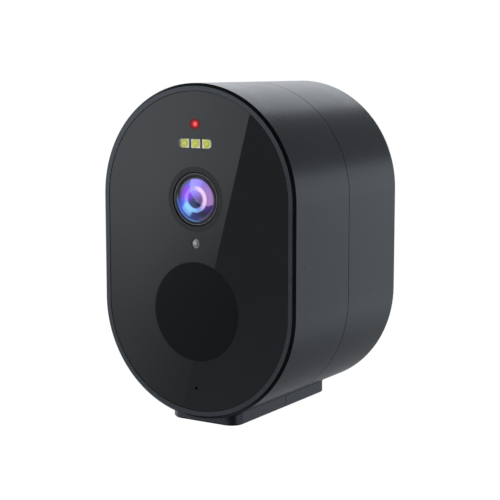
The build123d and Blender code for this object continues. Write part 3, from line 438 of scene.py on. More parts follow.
def machined(name, colour, roughness, axis, metallic=1.0):
    """Turned metal with fine rings round an axis along the depth."""
    finish = Finish(name, Metallic=metallic)
    finish.mottle(colour, spread=0.08, size=1.5 * MM)
    rings = finish.distance_from(axis.x, axis.z).wave(0.14 * MM)
    finish.feed("Roughness", roughness - 0.05 + 0.1 * rings)
    finish.bump(rings, 0.0015 * MM)
    return finish


def clear(name, colour, roughness, alpha):
    """Clear moulded plastic or glass with faint smears."""
    finish = Finish(name, IOR=1.5)
    finish.mottle(colour, spread=0.05, size=2 * MM)
    finish.worn(roughness, spread=0.02, size=1 * MM)
    finish.feed("Alpha", alpha - 0.03 + 0.06 * finish.noise(1.5 * MM))
    return finish


def oval_distance(finish):
    """Distance from the spine of the oval body, seen from the front."""
    across, _, level = finish.place()
    beyond = (abs(level - BODY_MIDDLE.z) - ARC_OFFSET).at_least(0.0)
    return length_of(across, beyond)


def shell_finish(settings):
    """Satin moulded shell with painted shade on its polished bevels and in the groove where the shells meet,
    polished a little by handling.
    """
    finish = Finish("moulded_shell", Specular_Tint=(*settings.gloss_tint, 1))
    _, depth, level = finish.place()
    handled = finish.noise(14 * MM, detail=3.0).fade(0.45, 0.75)
    # Painted shade on the rim's bevel and along the lowest edge of the foot by the floor.
    edge = oval_distance(finish).fade(BODY_RADIUS - 0.9 * MM, BODY_RADIUS - 0.7 * MM)
    rim_bevel_shade = edge * depth.drop(RIM_FRONT + 0.7 * MM, RIM_FRONT + 0.9 * MM)
    foot_bevel_shade = level.drop(0.35 * MM, 0.45 * MM)
    bevel = rim_bevel_shade.at_least(foot_bevel_shade)
    # Painted shade in the groove where the shells meet.
    seam_shade = abs(depth).drop(0.12 * MM, 0.14 * MM)
    body = finish.mottled(settings.colour, spread=0.05, size=9 * MM)
    # Painted shade: the bevels take a dark colour.
    body = finish.mix(bevel, body, settings.bevel_shade_colour)
    finish.feed("Base Color", finish.mix(seam_shade, body, settings.seam_shade_colour))
    gloss = settings.roughness - 0.03 * handled - 0.1 * bevel + 0.4 * seam_shade
    finish.feed("Roughness", gloss + 0.02 * finish.noise(4 * MM))
    finish.bump(finish.noise(settings.grain, detail=3.0), settings.grain_depth)
    return finish


def panel_finish(settings, status_colour):
    """Polished dark sheet with faint smears and a painted red glow of the status light in it."""
    finish = Finish("polished_sheet", IOR=1.5, Emission_Strength=1.0, Specular_Tint=(0.93, 0.97, 1, 1))
    finish.mottle(settings.panel_colour, spread=0.06, size=12 * MM)
    smears = finish.noise(7 * MM, detail=4.0, stretch=(1, 1, 0.6)).fade(0.5, 0.9)
    reach = finish.distance_from(STATUS.x, STATUS.z, squeeze=0.82) / settings.painted_glow_radius
    dull = reach.drop(0.6, 0.9)
    finish.feed("Roughness", 0.010 + 0.02 * smears + 0.8 * dull)
    # Painted light: red glow emitted by the sheet round the status light.
    glow = reach.drop(0.1, 1.0) ** 1.5
    finish.feed("Emission Color", finish.mix(glow * 0.6, (0, 0, 0), status_colour))
    finish.bump(finish.noise(5 * MM), 0.0004 * MM)
    return finish


def motion_window_finish(settings):
    """Satin film of the motion window, with its inner rings faintly printed through."""
    centre = middle_of("pir_lens")
    finish = Finish("satin_window", Specular_IOR_Level=0.13)
    rings = finish.distance_from(centre.x, centre.z).wave(1.65 * MM)
    light = [channel * 1.12 for channel in settings.window_colour]
    finish.feed("Base Color", finish.mix(rings * 0.6, settings.window_colour, light))
    finish.worn(settings.window_roughness, spread=0.03, size=4 * MM)
    finish.bump(finish.noise(0.12 * MM), 0.0015 * MM)
    return finish


def painted_coating_finish(settings):
    """Coated glass and its ring, with painted reflections, highlights and shade: blue at the left, a round
    highlight, a pale ring and a dark pupil, part of it glowing as painted light.
    """
    boost = 1.75
    finish = Finish("coated_glass_painted_light", Metallic=0.7, Coat_Weight=0.3, Emission_Strength=settings.glow * boost)
    radius = 6.6 * MM
    across, _, level = finish.place()
    right = (across - LENS.x) / radius
    up = (level - LENS.z) / radius
    reach = length_of(right, up)
    inner = settings.ring_inner / radius
    outer = settings.ring_outer / radius

    def spot(x, height):
        """Distance from a place in the glass."""
        return length_of(right - x, up - height)

    def way(x, height):
        """Distance along a direction across the glass."""
        return right * x + up * height

    lower_left = way(-0.64, -0.77)
    lower_right = way(0.8, -0.6)
    # Painted reflections: blue glow, violet patches, grey at the upper left, the pale fan, the round
    # highlight, the pale ring and thin arcs near the edge.
    low_glow = (0 - up).fade(0.3, 0.6) * right.drop(0.0, 0.4)
    violet = spot(-0.5, 0.25).drop(0.15, 0.5).at_least(0.22 * spot(0.6, -0.3).drop(0.1, 0.4))
    upper_grey_reflection = reach.fade(0.6, 0.88) * way(-0.6, 0.8).fade(0.05, 0.65)
    fan = lower_left.fade(0.3, 0.5) * abs(way(0.77, -0.64) + 0.05).drop(0.18, 0.34)
    fan = fan * reach.drop(0.80, 0.87) * (1 - 0.4 * reach.fade(0.55, 0.8))
    light = spot(0.55, 0.6).drop(0.82, 0.88) * reach.drop(0.82, 0.92)
    light_colour = finish.mix(way(1, -0.5).fade(-0.3, 0.6), settings.highlight, settings.highlight_warm)
    ring = reach.band(inner - 0.03, inner + 0.05, outer - 0.05, outer + 0.03)
    ring_share = 0.38 + 0.57 * lower_right.fade(-0.35, 0.25)
    warm_side = way(1, 0.35).fade(0.0, 0.5)
    ring_colour = finish.mix(warm_side, settings.ring, settings.ring_warm)
    ring_colour = finish.mix(lower_left.fade(0.1, 0.4), ring_colour, settings.fan)
    # Painted shade: the dark pupil and, below, the dark rim of the glass.
    pupil = reach.drop(inner - 0.06, inner)
    pupil_colour = finish.mix((up - right).fade(0.05, 0.4) * 0.7, settings.pupil, settings.violet)
    clear_share = light * (0.45 + 0.4 * way(0.3, 1).fade(0.05, 0.35))
    lower_arc = reach.band(0.90, 0.93, 0.96, 0.99) * way(-0.65, -0.75).fade(0.45, 0.85)
    side_arc = reach.band(0.84, 0.87, 0.89, 0.92) * way(1, -0.5).fade(0.4, 0.8)
    rim_start = 0.95 - 0.1 * way(0.4, 1).fade(0.0, 0.9)
    rim_shade_colour = (0.012, 0.012, 0.016)
    colour = finish.mix(lower_right.fade(-0.75, 0.35), settings.coating, settings.shade)
    # Layers of painted reflection, highlight and shade, from the back to the front.
    for mask, layer in (
            (low_glow * 0.13, settings.coating),
            (violet, settings.violet),
            (upper_grey_reflection, settings.grey_reflection),
            (fan * 0.92, settings.fan),
            (light * 0.78, light_colour),
            (ring * ring_share, ring_colour),
            (pupil * (1 - clear_share), pupil_colour),
            (lower_arc * 0.5, settings.fan),
            (side_arc * 0.14, settings.highlight_warm),
            ((reach - rim_start).fade(0.0, 0.06), rim_shade_colour)):
        colour = finish.mix(mask, colour, layer)
    finish.feed("Base Color", colour)
    # Painted light: the glass emits its painted colours, and its ring glows pale on the warm side.
    dimmed = finish.mix(1 - 1 / boost, colour, (0, 0, 0))
    finish.feed("Emission Color", finish.mix(ring * warm_side * 0.5, dimmed, (0.97, 0.71, 1.0)))
    finish.feed("Roughness", 0.16 + 0.06 * finish.noise(2 * MM))
    finish.feed("Alpha", 0.96 - 0.06 * finish.noise(3 * MM))
    return finish


def inner_glass_finish():
    """Coated inner glass in deep blue, darker towards its edge."""
    radius = 5.0 * MM
    finish = Finish("inner_coating", Metallic=0.85)
    reach = finish.distance_from(LENS.x, LENS.z) / radius
    finish.feed("Base Color", finish.mix(reach.fade(0.3, 1.0), (0.10, 0.09, 0.42), (0.02, 0.025, 0.12)))
    finish.feed("Roughness", 0.10 + 0.05 * finish.noise(1.5 * MM))
    return finish


def bezel_finish():
    """Satin ring round the lens, with fine turned lines."""
    finish = Finish("satin_ring")
    reach = finish.distance_from(LENS.x, LENS.z)
    finish.mottle((0.014, 0.014, 0.016), spread=0.06, size=3 * MM)
    rings = reach.wave(0.16 * MM)
    finish.feed("Roughness", 0.42 + 0.06 * rings)
    finish.bump(rings, 0.0015 * MM)
    return finish


def barrel_finish():
    """Black anodised barrel with a painted highlight in a thin pale line round the edge of its head."""
    highlight_from = 7.04 * MM
    highlight_full = 7.12 * MM
    finish = Finish("black_barrel")
    reach = finish.distance_from(LENS.x, LENS.z)
    depth = finish.place()[1]
    head = depth.drop(PANEL_FRONT + 0.3 * MM, PANEL_FRONT + 0.4 * MM)
    # Painted highlight: pale line round the edge of the head, where the edge would catch the light.
    worn = reach.fade(highlight_from, highlight_full) * head
    finish.feed("Base Color", finish.mix(worn, (0.010, 0.010, 0.012), (0.24, 0.24, 0.25)))
    rings = reach.wave(0.14 * MM)
    finish.feed("Roughness", 0.40 + 0.08 * rings)
    finish.bump(rings, 0.0015 * MM)
    return finish


def board_finish(name, colour, track):
    """Solder mask with raised tracks and small plated holes."""
    finish = Finish(name)
    across, _, level = finish.place()
    grid = across.wave(1.27 * MM) * level.wave(2.54 * MM)
    patches = finish.noise(5 * MM, detail=0.0).fade(0.48, 0.52)
    tracks = (patches * across.wave(0.9 * MM) + (1 - patches) * level.wave(0.9 * MM)).fade(0.55, 0.65)
    holes = grid.fade(0.93, 0.96)
    body = finish.mix(tracks * 0.6, colour, track)
    finish.feed("Base Color", finish.mix(holes, body, (0.55, 0.42, 0.18)))
    finish.feed("Metallic", holes * 0.9)
    finish.feed("Roughness", 0.42 - 0.12 * holes)
    finish.bump(tracks, 0.03 * MM)
    return finish


def skin(name, rounds):
    """Closed skin over rounds of points of equal count, capped at both ends."""
    builder = bmesh.new()
    loops = [[builder.verts.new(point) for point in points] for points in rounds]
    for near, far in zip(loops, loops[1:]):
        for step in range(len(near)):
            after = (step + 1) % len(near)
            builder.faces.new((near[step], near[after], far[after], far[step]))
    builder.faces.new(loops[0])
    builder.faces.new(loops[-1])
    bmesh.ops.recalc_face_normals(builder, faces=builder.faces)
    return finish_mesh(builder, name)


def lathe(name, profile, axis, segments):
    """Closed solid about an axis along the depth. A radius is a number or a function of the angle."""
    rounds = []
    for radius, depth in profile:
        points = []
        for step in range(segments):
            angle = 2 * math.pi * step / segments
            reach = radius(angle) if callable(radius) else radius
            points.append((axis.x + reach * math.cos(angle), depth, axis.z + reach * math.sin(angle)))
        rounds.append(points)
    return skin(name, rounds)


def finish_mesh(builder, name):
    """Mesh of a builder, which is freed."""
    mesh = bpy.data.meshes.new(name)
    builder.to_mesh(mesh)
    builder.free()
    return mesh


def placed(name, mesh, finish=None):
    """Object at the origin that shows a mesh."""
    item = bpy.data.objects.new(name, mesh)
    bpy.context.scene.collection.objects.link(item)
    if finish:
        mesh.materials.clear()
        mesh.materials.append(finish.material)
    return item


def smooth(item, angle):
    """Smooth shading, apart from edges sharper than an angle in degrees."""
    item.data.shade_smooth()
    item.data.set_sharp_from_angle(angle=math.radians(angle))
    return item


def repeat_tree(name, arrange, inputs):
    """Geometry nodes that copy a shape onto arranged points, with named inputs."""
    tree = bpy.data.node_groups.new(name, "GeometryNodeTree")
    tree.is_modifier = True
    sockets = tree.interface
    sockets.new_socket("Shape", in_out="INPUT", socket_type="NodeSocketGeometry")
    for label, kind in inputs.items():
        sockets.new_socket(label, in_out="INPUT", socket_type=kind)
    sockets.new_socket("Finish", in_out="INPUT", socket_type="NodeSocketMaterial")
    sockets.new_socket("Copies", in_out="OUTPUT", socket_type="NodeSocketGeometry")
    nodes = Nodes(tree)
    given = {label: nodes.add("NodeGroupInput", output=label) for label in ("Shape", *inputs, "Finish")}
    points = arrange(nodes, given)
    copies = nodes.add("GeometryNodeInstanceOnPoints", sockets={"Points": points, "Instance": given["Shape"]})
    whole = nodes.add("GeometryNodeRealizeInstances", sockets={"Geometry": copies})
    painted = nodes.add("GeometryNodeSetMaterial", sockets={"Geometry": whole, "Material": given["Finish"]})
    nodes.add("NodeGroupOutput", sockets={"Copies": painted})
    return tree


def row_points(nodes, given):
    """Points in a straight row."""
    return nodes.add("GeometryNodeMeshLine", {"mode": "OFFSET"}, {
        "Count": given["Count"], "Start Location": given["Start"], "Offset": given["Step"]})


def grid_points(nodes, given):
    """Four points upright at the corners of a rectangle."""
    corners = nodes.add("GeometryNodeMeshGrid", sockets={
        "Size X": given["Width"], "Size Y": given["Height"], "Vertices X": 2, "Vertices Y": 2})
    return nodes.add("GeometryNodeTransform", sockets={
        "Geometry": corners, "Translation": given["Middle"], "Rotation": (math.pi / 2, 0, 0)})


def repeat(name, mesh, tree, values, finish):
    """Piece made of copies of a shape, as a plain mesh."""
    item = placed(name, mesh)
    modifier = item.modifiers.new("copies", "NODES")
    modifier.node_group = tree
    values = {**values, "Finish": finish.material}
    for socket in tree.interface.items_tree:
        if socket.in_out == "INPUT" and socket.name in values:
            modifier[socket.identifier] = values[socket.name]
    bpy.context.view_layer.update()
    evaluated = item.evaluated_get(bpy.context.evaluated_depsgraph_get())
    whole = bpy.data.meshes.new_from_object(evaluated)
    item.modifiers.remove(modifier)
    item.data = whole
    return item


def row_tree():
    return repeat_tree("row_of_copies", row_points, {
        "Count": "NodeSocketInt", "Start": "NodeSocketVector", "Step": "NodeSocketVector"})


def corner_tree():
    return repeat_tree("copies_at_corners", grid_points, {
        "Width": "NodeSocketFloat", "Height": "NodeSocketFloat", "Middle": "NodeSocketVector"})


class CAMERA_OT_housing(bpy.types.Operator):
    """Dress the two shells and what joins them"""
    bl_idname = "battery_camera.housing"
    bl_label = "Housing"

    def execute(self, context):
        settings = context.scene.camera_housing
        dress(shell_finish(settings), "front_housing", "rear_housing")
        dress(rubbed("seal_rubber", (0.02, 0.02, 0.022)), "housing_seal")
        dress(brushed("zinc_screw", (0.45, 0.45, 0.46), roughness=0.35), "housing_screws", "small_screws")
        return {"FINISHED"}


class CAMERA_OT_face(bpy.types.Operator):
    """Dress the face sheet, the motion window and the light sensor"""
    bl_idname = "battery_camera.face"
    bl_label = "Face"

    def execute(self, context):
        settings = context.scene.camera_face
        dress(panel_finish(settings, context.scene.camera_lamps.status), "front_panel")
        dress(motion_window_finish(settings), "pir_lens")
        dress(rubbed("foam_tape", (0.05, 0.05, 0.05), roughness=0.9), "panel_adhesive")
        dress(self.pipe_finish(), "light_sensor_pipe")
        return {"FINISHED"}

    def pipe_finish(self):
        """Frosted light pipe: pale middle, a bright rim and painted shade in a darker crescent at the lower
        right.
        """
        centre = middle_of("light_sensor_pipe")
        finish = Finish("frosted_pipe", IOR=1.49)
        reach = finish.distance_from(centre.x, centre.z)
        aside = finish.distance_from(centre.x - 0.2 * MM, centre.z + 0.15 * MM)
        # Painted shade: a darker crescent at the lower right of the pipe's face.
        crescent = aside.fade(0.55 * MM, 0.75 * MM) * reach.drop(0.95 * MM, 1.1 * MM)
        shade = finish.mix(crescent * 0.75, (0.52, 0.52, 0.53), (0.09, 0.09, 0.095))
        grain = finish.noise(0.5 * MM)
        finish.feed("Base Color", finish.mix(grain * 0.3, shade, (0.5, 0.5, 0.5)))
        finish.feed("Roughness", 0.25 + 0.1 * grain)
        return finish


class CAMERA_OT_lens(bpy.types.Operator):
    """Dress the lens ring, barrel and coated glasses"""
    bl_idname = "battery_camera.lens"
    bl_label = "Lens"

    def execute(self, context):
        settings = context.scene.camera_lens
        dress(bezel_finish(), "lens_bezel")
        dress(barrel_finish(), "lens_barrel")
        dress(machined("black_anodised", (0.016, 0.016, 0.018), roughness=0.38, axis=LENS, metallic=0.6),
              "lens_spacer", "lens_aperture_stop")
        # The front glass and its ring take the painted reflections, highlights and shade.
        dress(painted_coating_finish(settings), "lens_front_element", "lens_retaining_ring")
        dress(inner_glass_finish(), "lens_second_element", "lens_rear_element")
        return {"FINISHED"}


class CAMERA_OT_lamps(bpy.types.Operator):
    """Build the lamp packages and dress the window and the status light"""
    bl_idname = "battery_camera.lamps"
    bl_label = "Lamps"

    def execute(self, context):
        settings = context.scene.camera_lamps
        self.build_lamps(settings)
        dress(self.status_finish(settings), "status_light_pipe")
        dress(moulded("small_lamp", (0.7, 0.68, 0.62), roughness=0.4), "status_led")
        dress(moulded("infrared_lamp", (0.02, 0.018, 0.022), roughness=0.15), "ir_leds")
        return {"FINISHED"}

    def status_finish(self, settings):
        """Lit red pipe, palest in its middle."""
        radius = 0.75 * MM
        finish = Finish("lit_status", IOR=1.49, Emission_Strength=settings.status_strength)
        reach = finish.distance_from(STATUS.x, STATUS.z) / radius
        lit = finish.mix(reach.fade(0.2, 1.05), (1.0, 0.16, 0.17), (0.45, 0.012, 0.02))
        finish.feed("Emission Color", lit)
        finish.mottle((0.5, 0.02, 0.03), spread=0.1, size=0.4 * MM)
        return finish

    def package_finish(self, settings, front):
        """White front and dark sides, glowing a little as painted light."""
        finish = Finish("lamp_package", Emission_Strength=settings.painted_glow_share)
        depth = finish.place()[1]
        white = finish.mottled(settings.package, spread=0.06, size=0.6 * MM)
        colour = finish.mix(depth.fade(front + 0.08 * MM, front + 0.2 * MM), white, (0.02, 0.02, 0.02))
        finish.feed("Base Color", colour)
        # Painted light: the package emits its own colour.
        finish.feed("Emission Color", colour)
        finish.worn(0.35, spread=0.05, size=0.3 * MM)
        return finish

    def phosphor_finish(self, settings, middle, pitch):
        """Yellow drop in each lamp, with painted shade darker towards its edge, glowing a little as painted
        light.
        """
        finish = Finish("lamp_phosphor", Emission_Strength=settings.painted_glow_share)
        across, _, level = finish.place()
        along = (across - middle.x + pitch / 2).wrapped(pitch)
        reach = length_of(along - pitch / 2, level - middle.z)
        bright = finish.mottled(settings.phosphor, spread=0.18, size=0.35 * MM)
        # Painted shade: a darker ring and a darker edge on each drop.
        dark = [channel * 0.45 for channel in settings.phosphor]
        ring = reach.band(0.45 * MM, 0.65 * MM, 0.8 * MM, 1.0 * MM)
        edge = reach.fade(1.15 * MM, 1.35 * MM)
        colour = finish.mix((ring * 0.45).at_least(edge * 0.6), bright, dark)
        finish.feed("Base Color", colour)
        # Painted light: the phosphor emits its own colour.
        finish.feed("Emission Color", colour)
        finish.worn(0.3, spread=0.05, size=0.3 * MM)
        finish.bump(finish.noise(0.2 * MM), 0.01 * MM)
        return finish

    def build_lamps(self, settings):
        """Row of lamps behind a window shell, as near as its refraction makes them look."""
        low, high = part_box("white_leds")
        window_low, window_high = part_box("led_window")
        width = 3.0 * MM
        pitch = (high.x - low.x - width) / (settings.count - 1)
        near = 1.1 * MM
        sideways = 0.2 * MM
        package = self.package_finish(settings, low.y - near)
        middle = (low + high) / 2 - Vector((sideways, 0, 0))
        phosphor = self.phosphor_finish(settings, middle, pitch)
        row = {
            "Count": settings.count,
            "Start": (low.x + width / 2 - sideways, low.y - near, (low.z + high.z) / 2),
            "Step": (pitch, 0, 0),
        }
        tree = row_tree()
        depth = high.y - low.y + near
        bodies = repeat("lamp_packages", self.package_mesh(width, high.z - low.z, depth), tree, row, package)
        domes = repeat("lamp_phosphors", self.dome_mesh(), tree, row, phosphor)
        for item, node, slot in (
                (bodies, "white_leds", "lamp_white"),
                (domes, "led_phosphors", "lamp_yellow")):
            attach(smooth(item, 35), FIXED_BODY)
            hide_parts(node)
        shell = placed("lamp_window", self.window_mesh(window_low, window_high),
                       self.lamp_window_finish(window_low, window_high))
        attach(smooth(shell, 35), FIXED_BODY)
        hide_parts("led_window")

    def lamp_window_finish(self, low, high):
        """Clear plastic with painted shade round its rim, left pale at its left end as painted light."""
        finish = Finish("clear_window", IOR=1.58)
        half = (high.z - low.z) / 2
        straight = (high.x - low.x) / 2 - half
        across, _, level = finish.place()
        beyond = (abs(across - (low.x + high.x) / 2) - straight).at_least(0.0)
        reach = length_of(beyond, level - (low.z + high.z) / 2)
        # Painted shade round the rim, with painted light where it stays pale at the left end.
        rim = reach.fade(half - 0.28 * MM, half - 0.08 * MM)
        lit_left_end = across.drop(low.x + 0.7 * MM, low.x + 1.0 * MM)
        pale = finish.mix(finish.noise(0.6 * MM), (0.62, 0.64, 0.60), (0.74, 0.76, 0.72))
        finish.feed("Base Color", finish.mix(rim * (1 - lit_left_end), pale, (0.03, 0.03, 0.03)))
        finish.feed("Roughness", 0.04 + 0.1 * rim)
        finish.feed("Alpha", 0.06 + 0.6 * rim)
        return finish

    def package_mesh(self, width, height, depth):
        """Square package with a round cup in its front, its front face at zero depth."""
        segments = 40
        cup = 1.38 * MM
        bevel = 0.12 * MM

        def square(angle, inset):
            stretch = 1 / max(abs(math.cos(angle)), abs(math.sin(angle)))
            return (width / 2 - inset) * stretch, (height / 2 - inset) * stretch

        def circle(angle, radius):
            return radius, radius

        rounds = []
        for shape, size, back in (
                (square, 0.0, depth), (square, 0.0, bevel), (square, bevel, 0.0),
                (circle, cup, 0.0), (circle, cup - 0.1 * MM, 0.08 * MM), (circle, cup - 0.2 * MM, 0.3 * MM)):
            points = []
            for step in range(segments):
                angle = 2 * math.pi * step / segments
                across, upright = shape(angle, size)
                points.append((across * math.cos(angle), back, upright * math.sin(angle)))
            rounds.append(points)
        return skin("lamp_packages", rounds)

    def dome_mesh(self):
        """Crowned drop of phosphor in a cup."""
        profile = [
            (1.18 * MM, 0.29 * MM),
            (1.34 * MM, 0.06 * MM),
            (1.15 * MM, -0.01 * MM),
            (0.7 * MM, -0.05 * MM),
            (0.2 * MM, -0.08 * MM),
        ]
        return lathe("lamp_phosphors", profile, Vector((0, 0, 0)), segments=40)

    def window_mesh(self, low, high):
        """Clear shell with round ends and a softened front edge."""
        half = (high.z - low.z) / 2
        straight = (high.x - low.x) / 2 - half
        middle = (low + high) / 2
        segments = 48
        soft = 0.08 * MM
        thickness = 0.4 * MM

        def oval(inset, back):
            points = []
            for step in range(segments):
                angle = 2 * math.pi * (step + 0.5) / segments
                side = straight if math.cos(angle) > 0 else -straight
                points.append((
                    middle.x + side + (half - inset) * math.cos(angle), back,
                    middle.z + (half - inset) * math.sin(angle)))
            return points

        return skin("lamp_window", [oval(0.0, low.y + thickness), oval(0.0, low.y + soft), oval(soft, low.y)])


class CAMERA_OT_mount(bpy.types.Operator):
    """Build the threaded insert and the screw plugs at the back"""
    bl_idname = "battery_camera.mount"
    bl_label = "Mount"

    def execute(self, context):
        settings = context.scene.camera_mount
        brass = machined("turned_brass", settings.brass, roughness=0.3, axis=BODY_MIDDLE)
        insert = placed("threaded_insert", self.insert_mesh(settings), brass)
        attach(smooth(insert, 30), FIXED_BODY)
        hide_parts("mount_insert")
        low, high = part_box("screw_plugs")
        radius = 2.5 * MM
        plug = self.plug_mesh(radius, high.y - low.y)
        plugs = repeat("plug_caps", plug, corner_tree(), {
            "Width": high.x - low.x - 2 * radius,
            "Height": high.z - low.z - 2 * radius,
            "Middle": (0, high.y, (low.z + high.z) / 2),
        }, rubbed("plug_rubber", (0.020, 0.020, 0.022)))
        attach(smooth(plugs, 40), FIXED_BODY)
        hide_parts("screw_plugs")
        return {"FINISHED"}

    def insert_mesh(self, settings):
        """Insert with a helical groove in its bore, a countersunk mouth and a knurled band at each end."""
        low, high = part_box("mount_insert")
        outer = (high.x - low.x) / 2
        bore = 2.55 * MM
        tip = 0.4 * MM
        waist = outer - 0.4 * MM
        floor = low.y + 1.0 * MM
        mouth = high.y - 0.05 * MM
        chamfer = 0.2 * MM
        face_inset = 0.15 * MM
        band_end = 2.0 * MM
        waist_start = 2.4 * MM
        ribs = 36
        rib_depth = 0.12 * MM
        columns = 72
        rows = 96

        def knurl(angle):
            return outer - rib_depth * (0.5 + 0.5 * math.cos(ribs * angle))

        def thread(depth):
            """Radius of the grooved bore for each angle, at a depth."""
            def groove(angle):
                phase = (depth / settings.pitch - angle / (2 * math.pi)) % 1
                return bore + settings.depth * (1 - abs(2 * phase - 1))

            return groove

        profile = [
            (tip, low.y),
            (outer - chamfer, low.y),
            (knurl, low.y + chamfer),
            (knurl, low.y + band_end),
            (waist, low.y + waist_start),
            (waist, high.y - waist_start),
            (knurl, high.y - band_end),
            (knurl, high.y - chamfer),
            (outer - face_inset, high.y),
            (bore + settings.depth, high.y),
        ]
        for row in range(rows + 1):
            depth = mouth - (mouth - floor) * row / rows
            profile.append((thread(depth), depth))
        profile.append((tip, floor))
        return lathe("threaded_insert", profile, BODY_MIDDLE, columns)

    def plug_mesh(self, radius, length):
        """Rubber plug with a rounded rim, a shallow dish and a pry dimple."""
        profile = [
            (0.3 * MM, -length),
            (radius - 0.3 * MM, -length),
            (radius, -length + 0.3 * MM),
            (radius, -0.25 * MM),
            (radius - 0.08 * MM, -0.07 * MM),
            (radius - 0.25 * MM, 0),
            (radius - 0.7 * MM, -0.06 * MM),
            (radius - 1.3 * MM, -0.1 * MM),
            (0.5 * MM, -0.12 * MM),
            (0.4 * MM, -0.4 * MM),
            (0.2 * MM, -0.45 * MM),
        ]
        return lathe("plug_caps", profile, Vector((0, 0, 0)), segments=40)


class CAMERA_OT_ports(bpy.types.Operator):
    """Dress the port bay: sockets, buttons and the soft cover"""
    bl_idname = "battery_camera.ports"
    bl_label = "Ports"

    def execute(self, context):
        settings = context.scene.camera_ports
        tin = brushed("tinned_sheet", (0.60, 0.60, 0.60), roughness=0.3)
        dress(tin, "usb_port", "card_socket")
        cover = rubbed("cover_rubber", settings.rubber)
        dress(cover, "port_cover", "port_cover_anchor")
        dress(moulded("button_cap", (0.30, 0.31, 0.32), roughness=0.4), "power_button", "reset_button")
        dress(moulded("switch_body", (0.03, 0.03, 0.032), roughness=0.45), "button_switches")
        gold = brushed("gold_contact", (0.83, 0.60, 0.22), roughness=0.25)
        low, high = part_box("usb_port")
        middle = (low + high) / 2
        pitch = 0.85 * MM
        tongue_half = 0.35 * MM
        setback = 1.5 * MM
        tree = row_tree()
        for side, label in ((-1, "front"), (1, "rear")):
            contact = self.contact_mesh(side)
            first_x = middle.x - pitch * (settings.contacts - 1) / 2
            start = (first_x, middle.y + side * tongue_half, low.z + setback)
            row = repeat("socket_contacts_" + label, contact, tree, {
                "Count": settings.contacts, "Start": start, "Step": (pitch, 0, 0)}, gold)
            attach(row, FIXED_BODY)
        return {"FINISHED"}

    def contact_mesh(self, side):
        """One sprung contact blade with a bevelled tip, lying on a side of the tongue."""
        width = 0.4 * MM
        thickness = 0.12 * MM
        length = 3.6 * MM
        lift = 0.05 * MM
        bevel = 0.04 * MM
        builder = bmesh.new()
        bmesh.ops.create_cube(builder, size=1)
        bmesh.ops.scale(builder, vec=(width, thickness, length), verts=builder.verts)
        bmesh.ops.translate(builder, vec=(0, side * lift, length / 2), verts=builder.verts)
        bmesh.ops.bevel(builder, geom=builder.edges, offset=bevel, segments=2, affect="EDGES")
        return finish_mesh(builder, "socket_contact")


